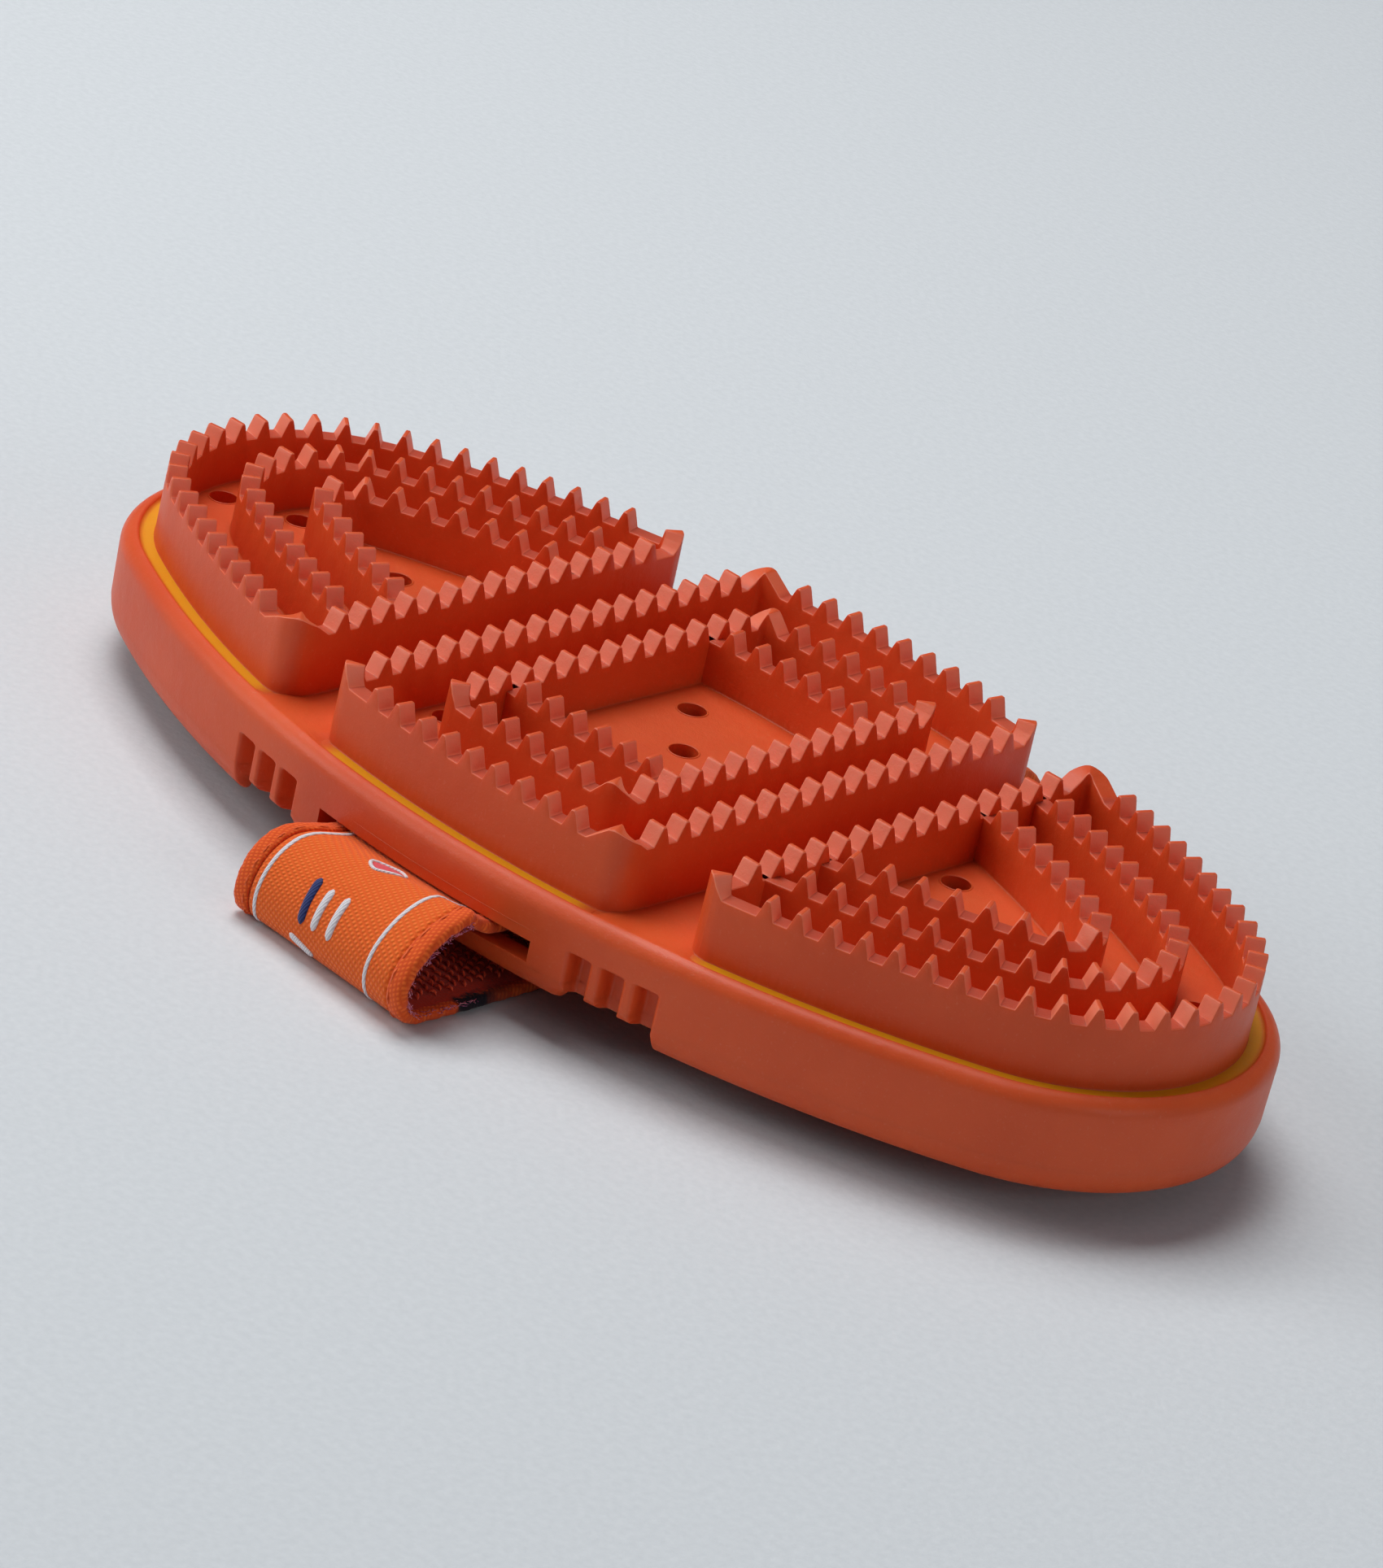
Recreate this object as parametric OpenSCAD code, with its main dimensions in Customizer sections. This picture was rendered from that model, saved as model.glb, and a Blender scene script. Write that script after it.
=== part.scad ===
// Rubber curry comb: a lens-shaped hollow rubber body with toothed ridges and a woven hand strap.
// Origin: floor level under the middle of the comb. +X runs along the comb, +Z points out of the teeth.

/* [Comb outline] */
// Radius of the two long sides, at the centre line of the outer ridge
side_r = 152; // [140:1:180]
// Radius of the two tips, at the centre line of the outer ridge
tip_r = 24; // [20:0.5:26]
// Distance from the middle of the comb to the centre of a tip
tip_x = 60.8; // [56:0.2:64]

/* [Plate and skirt] */
// Height of the plate's top face above the floor
plate_z = 17; // [16:0.5:20]
// Thickness of the plate
plate_t = 2.5; // [2:0.25:3]
// Height of the skirt, from the plate's top face down
skirt_h = 12.5; // [11:0.5:13]
// Outer face of the skirt, outside the outer ridge's centre line
skirt_out = 5.6; // [5.2:0.1:6.5]
// Inner face of the skirt, outside the outer ridge's centre line
skirt_in = 2.4; // [2:0.1:2.8]
// Outer edge of the groove, outside the outer ridge's centre line
groove_edge = 3.45; // [3.2:0.05:3.8]
// Height of the rim's lip above the plate
lip_h = 0.6; // [0.3:0.1:1]
// Rounding of the rim's upper outer edge
lip_r = 2.2; // [1.5:0.1:2.6]
// Rounding of the skirt's lower outer edge
hem_r = 3; // [1.5:0.25:3]

/* [Ridges] */
// Height of the tooth tips above the plate
ridge_h = 10.5; // [9:0.5:12]
// Thickness of every ridge wall
ridge_t = 2.5; // [2:0.1:3]
// Height of the raised floor inside each ridge group
pad_h = 2.3; // [1.5:0.1:3]
// Distance between neighbouring arches of an end group
arch_step = 9.5; // [8.5:0.25:10]
// Distance of an end group's cross wall from the middle
end_x = 35.7; // [34.5:0.1:37]
// Distance of the middle group's outer cross walls from the middle
mid_x = 23.9; // [22:0.1:25]
// Distance of the middle group's inner cross walls from the middle
ring_x = 14.7; // [13.5:0.1:15.5]
// Distance from the outer ridge in to the middle group's second ring
ring_step = 10.3; // [9.5:0.1:11]
// Distance from the outer ridge in to the middle group's inner walls
inner_step = 20.1; // [19:0.1:21]

/* [Teeth] */
// Tooth height
tooth_h = 2.4; // [1.8:0.1:3]
// Tooth pitch on the cross walls
pitch = 4; // [3.8:0.05:4.2]
// Tooth pitch on the middle group's long walls
long_pitch = 4.23; // [4:0.01:4.4]
// Width of the flat between two teeth
valley_w = 1; // [0.6:0.1:1.4]
// Width of the blunted tip of a tooth
tip_w = 0.5; // [0.3:0.1:0.8]

/* [Slots, grip flutes and vents] */
// Length of each strap slot
slot_w = 36.8; // [34:0.2:38]
// Height of each strap slot
slot_h = 2.8; // [2.6:0.1:3.2]
// Height of the slot's lower edge above the floor
slot_z = 8.6; // [8.4:0.1:9]
// Half the width of a grip flute
flute_r = 1.45; // [1.2:0.05:1.8]
// Depth of a grip flute
flute_depth = 2.8; // [2:0.1:3]
// Distance of the first grip flute from the middle
flute_x = 25.4; // [24:0.2:27]
// Spacing of the grip flutes
flute_step = 4.7; // [4.5:0.1:5.2]
// Height of the top of the grip flutes above the floor
flute_top = 12.4; // [11:0.2:13]
// Diameter of the vent holes
vent_d = 3.8; // [3:0.2:4.4]

/* [Strap] */
// Width of the strap across its two hems
strap_w = 32; // [28:0.5:33]
// Clearance between the strap and the left end of its slots at rest
strap_gap = 0.5; // [0.3:0.1:1]
// Thickness of the hemmed strap
strap_t = 2.2; // [1.8:0.1:2.2]
// How far the woven face lies below the hems
face_drop = 0.3; // [0.2:0.05:0.4]
// Thickness of the woven face
face_t = 0.9; // [0.6:0.1:1.2]
// Width of each folded hem
hem_w = 4.6; // [3.5:0.1:5.5]
// Half length of the strap's straight runs
run_y = 52.15; // [50:0.05:54]
// Width of each woven stripe
stripe_w = 0.9; // [0.6:0.1:1.5]
// Width of each row of stitches
stitch_w = 0.6; // [0.4:0.1:0.8]

/* [Hidden] */
$fn = 96;

eps = 0.01;
rubber = [0.80, 0.30, 0.18];
ochre = [0.72, 0.40, 0.08];
weave = [0.93, 0.40, 0.08];
hem_weave = [0.88, 0.33, 0.06];
thread_dark = [0.60, 0.16, 0.05];

// Geometry of the lens outline: two side arcs that run tangent into two tip arcs
side_y = sqrt(pow(side_r - tip_r, 2) - tip_x * tip_x);
join_angle = atan2(side_y, tip_x);
ridge_z = plate_z + ridge_h;
pad_z = plate_z + pad_h;
valley_z = ridge_z - tooth_h;
half_t = ridge_t / 2;
far_away = 200;
groove_band_t = 0.25;
groove_gap = 0.05;

// Teeth on each side of an arch's tip tooth, and the distance from the last one to the cross wall,
// for the outer, middle and inner arch
arch_teeth = [14, 11, 7];
arch_land = [7, 4.3, 3.2];

// Vent holes, each at its place on the raised floors
vents = [[-80, -5], [-70.5, 0], [-52, 0], [-8, 10], [0, 0], [-19.3, -23], [40.5, 6.5], [76.5, 10]];

// Strap: a closed band with two straight runs and two round ends
strap_x = -slot_w / 2 + strap_gap;
strap_top = slot_z + slot_h - (slot_h - strap_t) / 2;
strap_r = strap_top / 2;
face_x = strap_x + hem_w;
face_w = strap_w - 2 * hem_w;
stripe_in = 0.9;
stripe_proud = 0.1;
stitch_proud = 0.2;
mark_proud = 0.15;
seam_y = 7;

// ---- Outline helpers ----

// The x where the side arcs meet the tip arcs, at offset e
function join_x(e) = (side_r + e) * cos(join_angle);

// The lens outline, moved out by e from the outer ridge's centre line
module lens(e) {
    intersection() {
        translate([0, -side_y]) circle(r = side_r + e, $fn = 360);
        translate([0, side_y]) circle(r = side_r + e, $fn = 360);
        square([2 * join_x(e), far_away], center = true);
    }
    for (s = [-1, 1]) {
        translate([s * tip_x, 0]) circle(r = tip_r + e, $fn = 180);
    }
}

// A closed band of the lens outline, as wide as a ridge, moved out by e
module lens_band(e) {
    difference() {
        lens(e + half_t);
        lens(e - half_t);
    }
}

// ---- Path of an arch: distance s from the tip along its centre line, at offset e ----

function tip_len(e) = (tip_r + e) * join_angle * PI / 180;
function side_angle(s, e) = join_angle + (s - tip_len(e)) / (side_r + e) * 180 / PI;
function arch_angle(s, e) = s <= tip_len(e) ? s / (tip_r + e) * 180 / PI : side_angle(s, e);
function arch_point(s, e) = s <= tip_len(e)
    ? [tip_x + (tip_r + e) * cos(arch_angle(s, e)), (tip_r + e) * sin(arch_angle(s, e))]
    : [(side_r + e) * cos(side_angle(s, e)), (side_r + e) * sin(side_angle(s, e)) - side_y];
function arch_len(e) = tip_len(e)
    + (side_r + e) * (acos((end_x + half_t) / (side_r + e)) - join_angle) * PI / 180;
function arch_pitch(k) = (arch_len(-k * arch_step) - arch_land[k]) / arch_teeth[k];

// The y of a long wall's centre line at x, at offset e
function wall_y(x, e) = sqrt(pow(side_r + e, 2) - x * x) - side_y;
function wall_angle(x, e) = asin(x / (side_r + e));

// ---- Tooth gaps ----

// One gap between two teeth, cut through a wall that runs along Y
module tooth_gap(p) {
    top_w = (p - tip_w) / 2;
    rotate([90, 0, 90])
        linear_extrude(ridge_t + 0.6, center = true)
            polygon([
                [-valley_w / 2, valley_z], [valley_w / 2, valley_z],
                [top_w, ridge_z + eps], [-top_w, ridge_z + eps]
            ]);
}

// The gaps of a straight cross wall at x, with n teeth
module cross_gaps(x, n) {
    for (k = [0 : n]) {
        translate([x, (k - n / 2) * pitch, 0]) tooth_gap(pitch);
    }
}

// The gaps of a long wall on side s, with n teeth
module long_gaps(s, e, n) {
    for (k = [0 : n]) {
        x = (k - n / 2) * long_pitch;
        translate([x, s * wall_y(x, e), 0])
            rotate([0, 0, -s * wall_angle(x, e) - 90])
                tooth_gap(long_pitch);
    }
}

// The gaps of arch n, the same on both sides of its tip
module arch_gaps(n) {
    e = -n * arch_step;
    for (k = [0 : arch_teeth[n]]) {
        s = (k + 0.5) * arch_pitch(n);
        p = arch_point(s, e);
        for (side = [-1, 1]) {
            translate([p[0], side * p[1], 0])
                rotate([0, 0, side * arch_angle(s, e)])
                    tooth_gap(arch_pitch(n));
        }
    }
}

// ---- Ridge shapes ----

// A cross wall of an end group
module end_cross_wall() {
    difference() {
        translate([0, 0, plate_z])
            linear_extrude(ridge_h)
                intersection() {
                    lens(half_t);
                    translate([end_x, 0]) square([ridge_t, far_away], center = true);
                }
        cross_gaps(end_x, 15);
    }
}

// Arch n of an end group, counted in from the outer one, standing at height z
module end_arch(n, z) {
    difference() {
        translate([0, 0, z])
            linear_extrude(ridge_z - z)
                intersection() {
                    lens_band(-n * arch_step);
                    translate([end_x + half_t, -far_away / 2]) square([far_away, far_away]);
                }
        arch_gaps(n);
    }
}

// A ring of the middle group: cross walls at x, long walls at offset e
module ring(x, e, z, cross_n, long_n) {
    difference() {
        translate([0, 0, z])
            linear_extrude(ridge_z - z)
                difference() {
                    intersection() {
                        lens(e + half_t);
                        square([2 * x + ridge_t, far_away], center = true);
                    }
                    intersection() {
                        lens(e - half_t);
                        square([2 * x - ridge_t, far_away], center = true);
                    }
                }
        for (s = [-1, 1]) {
            cross_gaps(s * x, cross_n);
            long_gaps(s, e, long_n);
        }
    }
}

// One of the two inner long walls of the middle group
module inner_wall(s) {
    difference() {
        translate([0, 0, pad_z])
            linear_extrude(ridge_z - pad_z)
                intersection() {
                    lens_band(-inner_step);
                    translate([0, s * far_away / 4])
                        square([2 * ring_x - ridge_t, far_away / 2], center = true);
                }
        long_gaps(s, -inner_step, 6);
    }
}

// ---- Plate, skirt and floors ----

module vent_holes(z0, z1) {
    for (v = vents) {
        translate([v[0], v[1], z0]) cylinder(d = vent_d, h = z1 - z0, $fn = 32);
    }
}

module base_plate() {
    color(rubber)
        difference() {
            translate([0, 0, plate_z - plate_t]) linear_extrude(plate_t) lens(skirt_in);
            vent_holes(plate_z - plate_t - 1, plate_z + 1);
        }
}

// Section of the skirt and rim: the first axis is the offset from the outer ridge's centre line
module skirt_section(r0) {
    bottom = plate_z - skirt_h;
    lip_z = plate_z + lip_h;
    translate([r0 + skirt_in, bottom + hem_r])
        square([skirt_out - skirt_in, plate_z - lip_r - bottom - hem_r]);
    translate([r0 + skirt_in, plate_z - lip_r - eps])
        square([groove_edge - skirt_in + eps, lip_r + eps]);
    translate([r0 + groove_edge, plate_z - lip_r])
        intersection() {
            square([skirt_out - groove_edge, lip_r + lip_h]);
            union() {
                translate([skirt_out - groove_edge - lip_r, lip_h]) circle(r = lip_r, $fn = 64);
                square([skirt_out - groove_edge, lip_h]);
            }
        }
    translate([r0 + skirt_in, bottom])
        intersection() {
            square([skirt_out - skirt_in, hem_r + eps]);
            translate([skirt_out - skirt_in - hem_r, hem_r]) circle(r = hem_r, $fn = 64);
        }
    translate([r0 + skirt_in, bottom])
        square([skirt_out - skirt_in - hem_r, hem_r + eps]);
}

// The skirt's plain ring, made of four arcs
module skirt_ring() {
    side_sweep = 180 - 2 * join_angle;
    for (s = [0, 1]) {
        mirror([0, s, 0])
            translate([0, -side_y, 0])
                rotate([0, 0, join_angle])
                    rotate_extrude(angle = side_sweep, $fn = 360) skirt_section(side_r);
        mirror([s, 0, 0])
            translate([tip_x, 0, 0])
                rotate([0, 0, -join_angle])
                    rotate_extrude(angle = 2 * join_angle, $fn = 180) skirt_section(tip_r);
    }
}

module rim_skirt() {
    color(rubber)
        difference() {
            skirt_ring();
            translate([0, 0, slot_z + slot_h / 2])
                cube([slot_w, far_away, slot_h], center = true);
            for (sx = [-1, 1], sy = [-1, 1], k = [0 : 2]) {
                x = flute_x + k * flute_step;
                bottom_y = wall_y(x, skirt_out) + flute_r - flute_depth;
                translate([sx * x, sy * bottom_y, 0])
                    cylinder(r = flute_r, h = flute_top, $fn = 24);
                translate([sx * x, sy * (bottom_y + flute_depth / 2), flute_top / 2])
                    cube([2 * flute_r, flute_depth, flute_top], center = true);
            }
        }
}

// Raised floor inside an end group
module end_pad() {
    translate([0, 0, plate_z])
        linear_extrude(pad_h)
            intersection() {
                lens(-half_t);
                translate([end_x + half_t, -far_away / 2]) square([far_away, far_away]);
            }
}

module left_pad() {
    color(rubber)
        difference() {
            mirror([1, 0, 0]) end_pad();
            vent_holes(plate_z - 1, pad_z + 1);
        }
}

module right_pad() {
    color(rubber)
        difference() {
            end_pad();
            vent_holes(plate_z - 1, pad_z + 1);
        }
}

module middle_pad() {
    color(rubber)
        difference() {
            translate([0, 0, plate_z])
                linear_extrude(pad_h)
                    intersection() {
                        lens(-half_t);
                        square([2 * mid_x - ridge_t, far_away], center = true);
                    }
            vent_holes(plate_z - 1, pad_z + 1);
        }
}

// ---- Ridges ----

module left_cross_wall() {
    color(rubber) mirror([1, 0, 0]) end_cross_wall();
}

module left_outer_arch() {
    color(rubber) mirror([1, 0, 0]) end_arch(0, plate_z);
}

module left_middle_arch() {
    color(rubber) mirror([1, 0, 0]) end_arch(1, pad_z);
}

module left_inner_arch() {
    color(rubber) mirror([1, 0, 0]) end_arch(2, pad_z);
}

module right_cross_wall() {
    color(rubber) end_cross_wall();
}

module right_outer_arch() {
    color(rubber) end_arch(0, plate_z);
}

module right_middle_arch() {
    color(rubber) end_arch(1, pad_z);
}

module right_inner_arch() {
    color(rubber) end_arch(2, pad_z);
}

module middle_outer_ring() {
    color(rubber) ring(mid_x, 0, plate_z, 17, 9);
}

module middle_inner_ring() {
    color(rubber) ring(ring_x, -ring_step, pad_z, 13, 5);
}

module near_inner_wall() {
    color(rubber) inner_wall(-1);
}

module far_inner_wall() {
    color(rubber) inner_wall(1);
}

// ---- Groove bands ----

// The coloured floor of the groove, within the given stretch of x
module groove_band(x0, x1, y0, y1) {
    color(ochre)
        translate([0, 0, plate_z])
            linear_extrude(groove_band_t)
                intersection() {
                    difference() {
                        lens(groove_edge - groove_gap);
                        lens(half_t + groove_gap);
                    }
                    translate([x0, y0]) square([x1 - x0, y1 - y0]);
                }
}

module left_groove_band() {
    groove_band(-far_away, -end_x - half_t, -far_away, far_away);
}

module right_groove_band() {
    groove_band(end_x + half_t, far_away, -far_away, far_away);
}

module near_groove_band() {
    groove_band(-mid_x, mid_x, -far_away, 0);
}

module far_groove_band() {
    groove_band(-mid_x, mid_x, 0, far_away);
}

// ---- Strap ----

// The strap's closed section in the YZ plane, drawn in from its outer surface by d
module strap_section(d) {
    r = strap_r - d;
    square([2 * run_y, 2 * r], center = true);
    for (s = [-1, 1]) {
        translate([s * run_y, 0]) circle(r = r);
    }
}

// A layer of the strap between depths d0 and d1, from x0, w wide
module strap_layer(x0, w, d0, d1) {
    translate([x0, 0, strap_r])
        rotate([90, 0, 90])
            linear_extrude(w)
                difference() {
                    strap_section(d0);
                    strap_section(d1);
                }
}

// A raised line on the outside of the strap's near loop, between two heights
module near_line(x0, w, proud, z0, z1) {
    intersection() {
        strap_layer(x0, w, face_drop - proud, face_drop);
        translate([x0 - 1, -run_y - 2 * strap_r, z0]) cube([w + 2, 2 * strap_r, z1 - z0]);
    }
}

module strap_face() {
    color(weave) strap_layer(face_x, face_w, face_drop, face_drop + face_t);
}

// The lining leaves room for the sewn join on its upper run
module strap_lining() {
    color(weave)
        difference() {
            strap_layer(face_x, face_w, face_drop + face_t, strap_t);
            translate([face_x - 1, -seam_y / 2, strap_r]) cube([face_w + 2, seam_y, strap_r]);
        }
}

module join_seam() {
    color(hem_weave)
        intersection() {
            strap_layer(face_x, face_w, face_drop + face_t, strap_t);
            translate([face_x - 1, -seam_y / 2, strap_r]) cube([face_w + 2, seam_y, strap_r]);
        }
}

module left_hem() {
    color(hem_weave) strap_layer(strap_x, hem_w, 0, strap_t);
}

module right_hem() {
    color(hem_weave) strap_layer(strap_x + strap_w - hem_w, hem_w, 0, strap_t);
}

module left_stitching() {
    color(thread_dark)
        strap_layer(face_x, stitch_w, face_drop - stitch_proud, face_drop);
}

module right_stitching() {
    color(thread_dark)
        strap_layer(face_x + face_w - stitch_w, stitch_w, face_drop - stitch_proud, face_drop);
}

module left_stripe() {
    color("white")
        strap_layer(face_x + stitch_w + stripe_in, stripe_w, face_drop - stripe_proud, face_drop);
}

module right_stripe() {
    color("white")
        strap_layer(face_x + face_w - stitch_w - stripe_in - stripe_w, stripe_w,
            face_drop - stripe_proud, face_drop);
}

module navy_mark() {
    color("navy") near_line(face_x + 7.5, 1.4, mark_proud, 6, 9.8);
}

module white_mark() {
    color("white") near_line(face_x + 10.5, 4, mark_proud, 4.6, 7.4);
}

module red_mark() {
    color("crimson") near_line(face_x + 9, 3, mark_proud, 9.9, 11);
}

base_plate();
rim_skirt();
left_pad();
middle_pad();
right_pad();
left_cross_wall();
left_outer_arch();
left_middle_arch();
left_inner_arch();
right_cross_wall();
right_outer_arch();
right_middle_arch();
right_inner_arch();
middle_outer_ring();
middle_inner_ring();
near_inner_wall();
far_inner_wall();
left_groove_band();
right_groove_band();
near_groove_band();
far_groove_band();
strap_face();
strap_lining();
left_hem();
right_hem();
left_stitching();
right_stitching();
left_stripe();
right_stripe();
navy_mark();
white_mark();
red_mark();
join_seam();
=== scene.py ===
"""A rubber curry comb with a woven hand strap: the looks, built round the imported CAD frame.

Lengths are in millimetres until make_mesh() turns them into metres.
Offsets e are measured outward from the centre line of the outer ridge.
"""
import math
import random

import bmesh
import bpy
import numpy as np
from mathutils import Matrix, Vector


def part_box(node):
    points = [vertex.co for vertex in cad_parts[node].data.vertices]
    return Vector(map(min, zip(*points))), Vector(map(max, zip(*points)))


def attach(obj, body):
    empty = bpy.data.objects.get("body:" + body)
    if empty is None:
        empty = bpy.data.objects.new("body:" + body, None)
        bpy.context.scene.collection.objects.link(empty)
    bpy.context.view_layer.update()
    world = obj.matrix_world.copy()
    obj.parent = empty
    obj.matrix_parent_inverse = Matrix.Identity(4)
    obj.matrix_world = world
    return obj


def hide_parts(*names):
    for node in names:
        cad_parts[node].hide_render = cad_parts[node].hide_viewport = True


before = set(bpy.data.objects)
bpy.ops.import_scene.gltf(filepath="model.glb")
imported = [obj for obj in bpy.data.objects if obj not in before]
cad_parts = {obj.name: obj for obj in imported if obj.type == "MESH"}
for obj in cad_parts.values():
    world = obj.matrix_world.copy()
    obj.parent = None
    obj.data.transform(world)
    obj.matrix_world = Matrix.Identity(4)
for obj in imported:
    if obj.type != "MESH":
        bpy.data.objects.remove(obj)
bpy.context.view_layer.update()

MM = 0.001


# ---- Driving dimensions, read from the frame where it holds them ----

def box_mm(node):
    """Lowest and highest corner of a CAD node, in millimetres."""
    low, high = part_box(node)
    return np.array(low) / MM, np.array(high) / MM


PLATE_BACK, PLATE_Z = (corner[2] for corner in box_mm("base_plate"))
PAD_Z = box_mm("middle_pad")[1][2]
SKIRT_Z = box_mm("rim_skirt")[0][2]
WALL_LOW, WALL_HIGH = box_mm("right_cross_wall")
RIDGE_Z = WALL_HIGH[2]
END_X = (WALL_LOW[0] + WALL_HIGH[0]) / 2
HALF_T = (WALL_HIGH[0] - WALL_LOW[0]) / 2
HALF_LENGTH = box_mm("right_outer_arch")[1][0] - HALF_T
HALF_WIDTH = box_mm("middle_outer_ring")[1][1] - HALF_T
MID_X = box_mm("middle_outer_ring")[1][0] - HALF_T
RING_X = box_mm("middle_inner_ring")[1][0] - HALF_T
ARCH_STEP = HALF_LENGTH - (box_mm("right_middle_arch")[1][0] - HALF_T)
RING_STEP = HALF_WIDTH - (box_mm("middle_inner_ring")[1][1] - HALF_T)
INNER_STEP = HALF_WIDTH - (box_mm("far_inner_wall")[1][1] - HALF_T)

# Plan of the outer ridge: a small arc round each tip and a large one along each side, which meet at JOIN
TIP_R = 24.0
SIDE_R = (HALF_LENGTH ** 2 + HALF_WIDTH ** 2 - 2 * HALF_LENGTH * TIP_R) / (2 * (HALF_WIDTH - TIP_R))
TIP_X = HALF_LENGTH - TIP_R
SIDE_Y = SIDE_R - HALF_WIDTH
JOIN = math.atan2(SIDE_Y, TIP_X)

# Teeth: cross walls have PITCH and VALLEY, long walls and arches the longer ones
TOOTH_H = 2.4
PITCH = 4.0
LONG_PITCH = 4.23
VALLEY = 1.4
LONG_VALLEY = 1.8
TIP_HALF = 0.28
TIP_ROUND = 0.26
VALLEY_ROUND = 0.14

# Corners of the ridges: a wide peak reaches to a short valley on each side, a block has a base of its own
CORNER_R = 2.0
PEAK_VALLEY = 1.1
PEAK_SHIFT = 1.0
BLOCK_BASE = 1.9
BLOCK_TIP_HALF = 0.45

# Arches, outermost first: teeth on each side of the tip, and plain length next to the cross wall
ARCH_TEETH = (14, 11, 7)
ARCH_LAND = (7.0, 4.3, 3.2)

# Section of a ridge: fillet at its foot, extra half thickness there, and rounding of its top edges
FOOT_R = 0.2
DRAFT = 0.12
EDGE_R = 0.18

# Rim and lip
RIM_OUT = 5.6
RIM_IN = 2.4
LIP_H = 0.6
LIP_R = 2.2

# The floor between two ridge groups runs up into the rim, between these distances from the middle
CHANNEL_BEGINS = (22.2, 25.6)
CHANNEL_ENDS = (34.6, 38.2)
DISH_START = -5.0
DISH_RUN = 8.75
DISH_POWER = 1.8
GROOVE_SINK = 0.35

# Skirt, slots and flutes
SKIRT_DRAFT = 0.02
BULGE_IN = 2.8
BULGE_H = 4.0
BACK_R = 1.0
SLOT_X = 18.4
SLOT_TOP = 11.4
SLOT_BOTTOM = 8.6
FLUTES = (25.4, 30.1, 34.8)
FLUTE_HALF = 1.45
FLUTE_DEPTH = 2.8
FLUTE_ROUND = 0.6
RIB_R = 0.9
FLUTE_TOP = 12.4

# The skirt's lower edge stands higher between the flute groups, and higher again along the flutes
EDGE_LIFT = 0.7
FLUTE_LIFT = 1.4
LIFT_BELOW = 8.0
FLUTES_BEGIN = (22.4, 24.0)
FLUTES_END = (36.1, 36.7)

# Groove bands: where those of the two ends begin and those of the two sides stop, and how soon they fade in
END_BAND_X = 35.8
SIDE_BAND_X = 23.2
BAND_FADE = 3.5

VENTS = ((-80, -5), (-70.5, 0), (-52, 0), (-8, 10), (0, 0), (-19.3, -23), (40.5, 6.5), (76.5, 10))
VENT_R = 1.9
VENT_BEAD = 0.14


# ---- Small helpers ----

def smooth_step(low, high, x):
    """Rises smoothly from 0 to 1 as x goes from low to high."""
    t = np.clip((np.asarray(x, float) - low) / (high - low), 0, 1)
    return t * t * (3 - 2 * t)


def smooth_min(a, b, k):
    """The smaller of two values, rounded over a width k where they meet."""
    h = np.clip(0.5 + 0.5 * (b - a) / k, 0, 1)
    return b * (1 - h) + a * h - k * h * (1 - h)


def smooth_max(a, b, k):
    return -smooth_min(-a, -b, k)


def add_object(name, data):
    thing = bpy.data.objects.new(name, data)
    bpy.context.scene.collection.objects.link(thing)
    return thing


def make_mesh(name, points, faces, material, body, sharp_deg=None):
    """A piece from points in millimetres. It rides on a body and takes the material it is given."""
    mesh = bpy.data.meshes.new(name)
    mesh.from_pydata((np.asarray(points, float) * MM).tolist(), [], [tuple(map(int, f)) for f in faces])
    mesh.validate()
    piece = add_object(name, mesh)
    face_outward(mesh)
    mesh.shade_smooth()
    if sharp_deg:
        mesh.set_sharp_from_angle(angle=math.radians(sharp_deg))
    mesh.materials.append(material)
    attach(piece, body)
    return piece


def face_outward(mesh):
    work = bmesh.new()
    work.from_mesh(mesh)
    bmesh.ops.recalc_face_normals(work, faces=work.faces)
    work.to_mesh(mesh)
    work.free()


def crisp_normals(piece):
    """Large faces keep their own direction, so that the small roundings read as edges."""
    weighted = piece.modifiers.new("crisp", "WEIGHTED_NORMAL")
    weighted.keep_sharp = True
    weighted.weight = 80
    return piece


def circle(count):
    """Angles of a number of points evenly round a circle."""
    return [2 * math.pi * k / count for k in range(count)]


def tube_faces(sections, around, closed=False, caps=True):
    """Quads between neighbouring sections of a tube. A closed one meets itself, an open one has caps."""
    faces = []
    for c in range(sections if closed else sections - 1):
        c2 = (c + 1) % sections
        for r in range(around):
            r2 = (r + 1) % around
            faces.append((c * around + r, c2 * around + r, c2 * around + r2, c * around + r2))
    if caps and not closed:
        faces.append(tuple(range(around)))
        faces.append(tuple(range(around * (sections - 1), around * sections)))
    return faces


def add_attribute(piece, name, kind, values):
    """Stores a number (FLOAT) or three (FLOAT_VECTOR) for each point of a piece."""
    attribute = piece.data.attributes.new(name, kind, "POINT")
    field = "vector" if kind == "FLOAT_VECTOR" else "value"
    attribute.data.foreach_set(field, np.asarray(values, np.float32).ravel())


def merge(parts):
    """One list of points, cloth places and faces from many."""
    points, cloth, faces = [], [], []
    for p, c, f in parts:
        faces += [tuple(v + len(points) for v in face) for face in f]
        points += [tuple(q) for q in p]
        cloth += [tuple(q) for q in c]
    return points, cloth, faces


# ---- Plan lines ----

SAMPLE = 0.02


def arc(cx, cy, radius, start, end):
    count = max(3, int(abs(end - start) * radius / SAMPLE))
    angle = np.linspace(start, end, count)
    normal = np.stack([np.cos(angle), np.sin(angle)], 1)
    return np.array([cx, cy]) + radius * normal, normal


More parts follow.
